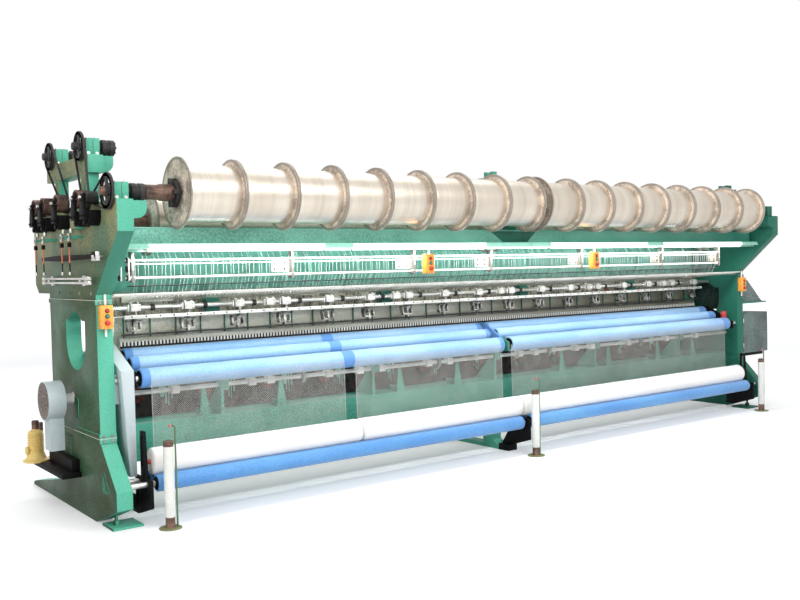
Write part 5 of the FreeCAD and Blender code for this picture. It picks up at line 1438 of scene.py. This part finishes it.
class KNIT_OT_stage(bpy.types.Operator):
    """Builds the pale floor, the soft lights and the camera."""
    bl_idname = "knit.stage"
    bl_label = "Stage"

    def execute(self, context):
        floor = bpy.data.meshes.new("floor")
        floor.from_pydata([(-40, -40, 0), (40, -40, 0), (40, 40, 0), (-40, 40, 0)], [], [(0, 1, 2, 3)])
        obj = linked("floor", floor)
        ground = Finish("pale floor", Roughness=0.9, Base_Color=(0.86, 0.86, 0.86, 1), Emission_Strength=1.0)
        seen = ground.node("ShaderNodeLightPath").outputs
        shown = Wire(ground.tree, seen["Is Camera Ray"]) + Wire(ground.tree, seen["Is Glossy Ray"])
        across, along = ground.axis("X"), ground.axis("Y")
        far = ground.between(across * across + along * along, 9.0, 500.0, 0.25, 0.75)
        patch = ground.between(ground.noise(0.6, 2.0), 0.3, 0.7, 0.98, 1.0)
        ground.feed("Emission Color", ground.mix(shown * far * patch, (0, 0, 0), (1, 1, 1)))
        floor.materials.append(ground.material)
        world = bpy.data.worlds.new("pale room")
        world.use_nodes = True
        context.scene.world = world
        tree = world.node_tree
        plain, white = tree.nodes["Background"], tree.nodes.new("ShaderNodeBackground")
        for node, tint, strength in ((plain, (0.95, 0.97, 1.0, 1), 0.55), (white, (1, 1, 1, 1), 1.0)):
            node.inputs["Color"].default_value = tint
            node.inputs["Strength"].default_value = strength
        path = tree.nodes.new("ShaderNodeLightPath").outputs
        camera, glossy, through = (Wire(tree, path[f"Is {kind} Ray"])
                                   for kind in ("Camera", "Glossy", "Transmission"))
        share = camera + glossy + through
        blend = tree.nodes.new("ShaderNodeMixShader")
        for source, target in ((share.socket, blend.inputs[0]), (plain.outputs[0], blend.inputs[1]),
                               (white.outputs[0], blend.inputs[2]),
                               (blend.outputs[0], tree.nodes["World Output"].inputs[0])):
            tree.links.new(source, target)
        for name, where, aim, power, size in (
                ("key", (-1.5, -9.0, 6.4), (0, -0.5, 1.2), 640, (8, 4)),
                ("fill", (-9.5, -4.0, 4.5), (-3.5, 0, 1.4), 170, (4, 4)),
                ("top", (0, 1.0, 8.0), (0, 0, 1.5), 220, (9, 4)),
                ("back", (2.0, 9.0, 6.0), (0, 0, 1.4), 300, (8, 4)),
                ("tubes", (-0.1, -0.93, 1.99), (-0.1, -0.25, 1.3), 46, (7.5, 0.06))):
            lamp = bpy.data.lights.new(name, "AREA")
            lamp.shape = "RECTANGLE"
            lamp.size, lamp.size_y = size
            lamp.energy = power
            holder = linked(name, lamp)
            holder.location = where
            holder.rotation_euler = (Vector(aim) - Vector(where)).to_track_quat("-Z", "Y").to_euler()
        self.camera(context)
        return {"FINISHED"}

    @staticmethod
    def camera(context):
        context.scene.view_settings.view_transform = "Standard"
        lens = bpy.data.cameras.new("camera")
        lens.sensor_width = 36
        lens.lens = 41.596
        lens.clip_end = 200
        yaw, pitch, roll = (math.radians(angle) for angle in (37.024, -2.096, -1.276))
        ahead = Vector((math.sin(yaw) * math.cos(pitch), math.cos(yaw) * math.cos(pitch), math.sin(pitch)))
        right = Vector((math.cos(yaw), -math.sin(yaw), 0))
        up = right.cross(ahead)
        across = right * math.cos(roll) + up * math.sin(roll)
        above = up * math.cos(roll) - right * math.sin(roll)
        holder = linked("camera", lens)
        turn = Matrix((across, above, -ahead)).transposed()
        holder.matrix_world = Matrix.Translation((-6.390, -7.360, 1.862)) @ turn.to_4x4()
        context.scene.camera = holder


PIECES = (
    KNIT_OT_side_frames, KNIT_OT_girders, KNIT_OT_front_spools, KNIT_OT_rear_spools, KNIT_OT_upper_stubs,
    KNIT_OT_let_off, KNIT_OT_lamps, KNIT_OT_yarn_path, KNIT_OT_guide_arms, KNIT_OT_needles, KNIT_OT_rollers,
    KNIT_OT_netting, KNIT_OT_drive, KNIT_OT_controls, KNIT_OT_cabinet, KNIT_OT_posts, KNIT_OT_stage,
)
GROUPS = {"knit_spools": SpoolSizes, "knit_rollers": RollerSizes, "knit_net": NetSizes, "knit_paint": PaintColours}


class KNIT_PT_machine(bpy.types.Panel):
    """Lists the machine's builders and their sizes."""
    bl_label = "Knitting machine"
    bl_idname = "KNIT_PT_machine"
    bl_space_type = "VIEW_3D"
    bl_region_type = "UI"
    bl_category = "Knitting machine"

    def draw(self, context):
        for piece in PIECES:
            self.layout.operator(piece.bl_idname)
        for group_name in GROUPS:
            group = getattr(context.scene, group_name)
            for name in group.bl_rna.properties.keys():
                if name not in ("rna_type", "name"):
                    self.layout.prop(group, name)


def register():
    for kind in (*GROUPS.values(), *PIECES, KNIT_PT_machine):
        bpy.utils.register_class(kind)
    for name, kind in GROUPS.items():
        setattr(bpy.types.Scene, name, PointerProperty(type=kind))


def unregister():
    for name in GROUPS:
        delattr(bpy.types.Scene, name)
    for kind in reversed((*GROUPS.values(), *PIECES, KNIT_PT_machine)):
        bpy.utils.unregister_class(kind)


def main():
    register()
    for piece in PIECES:
        family, name = piece.bl_idname.split(".")
        getattr(getattr(bpy.ops, family), name)()


if __name__ == "__main__":
    main()
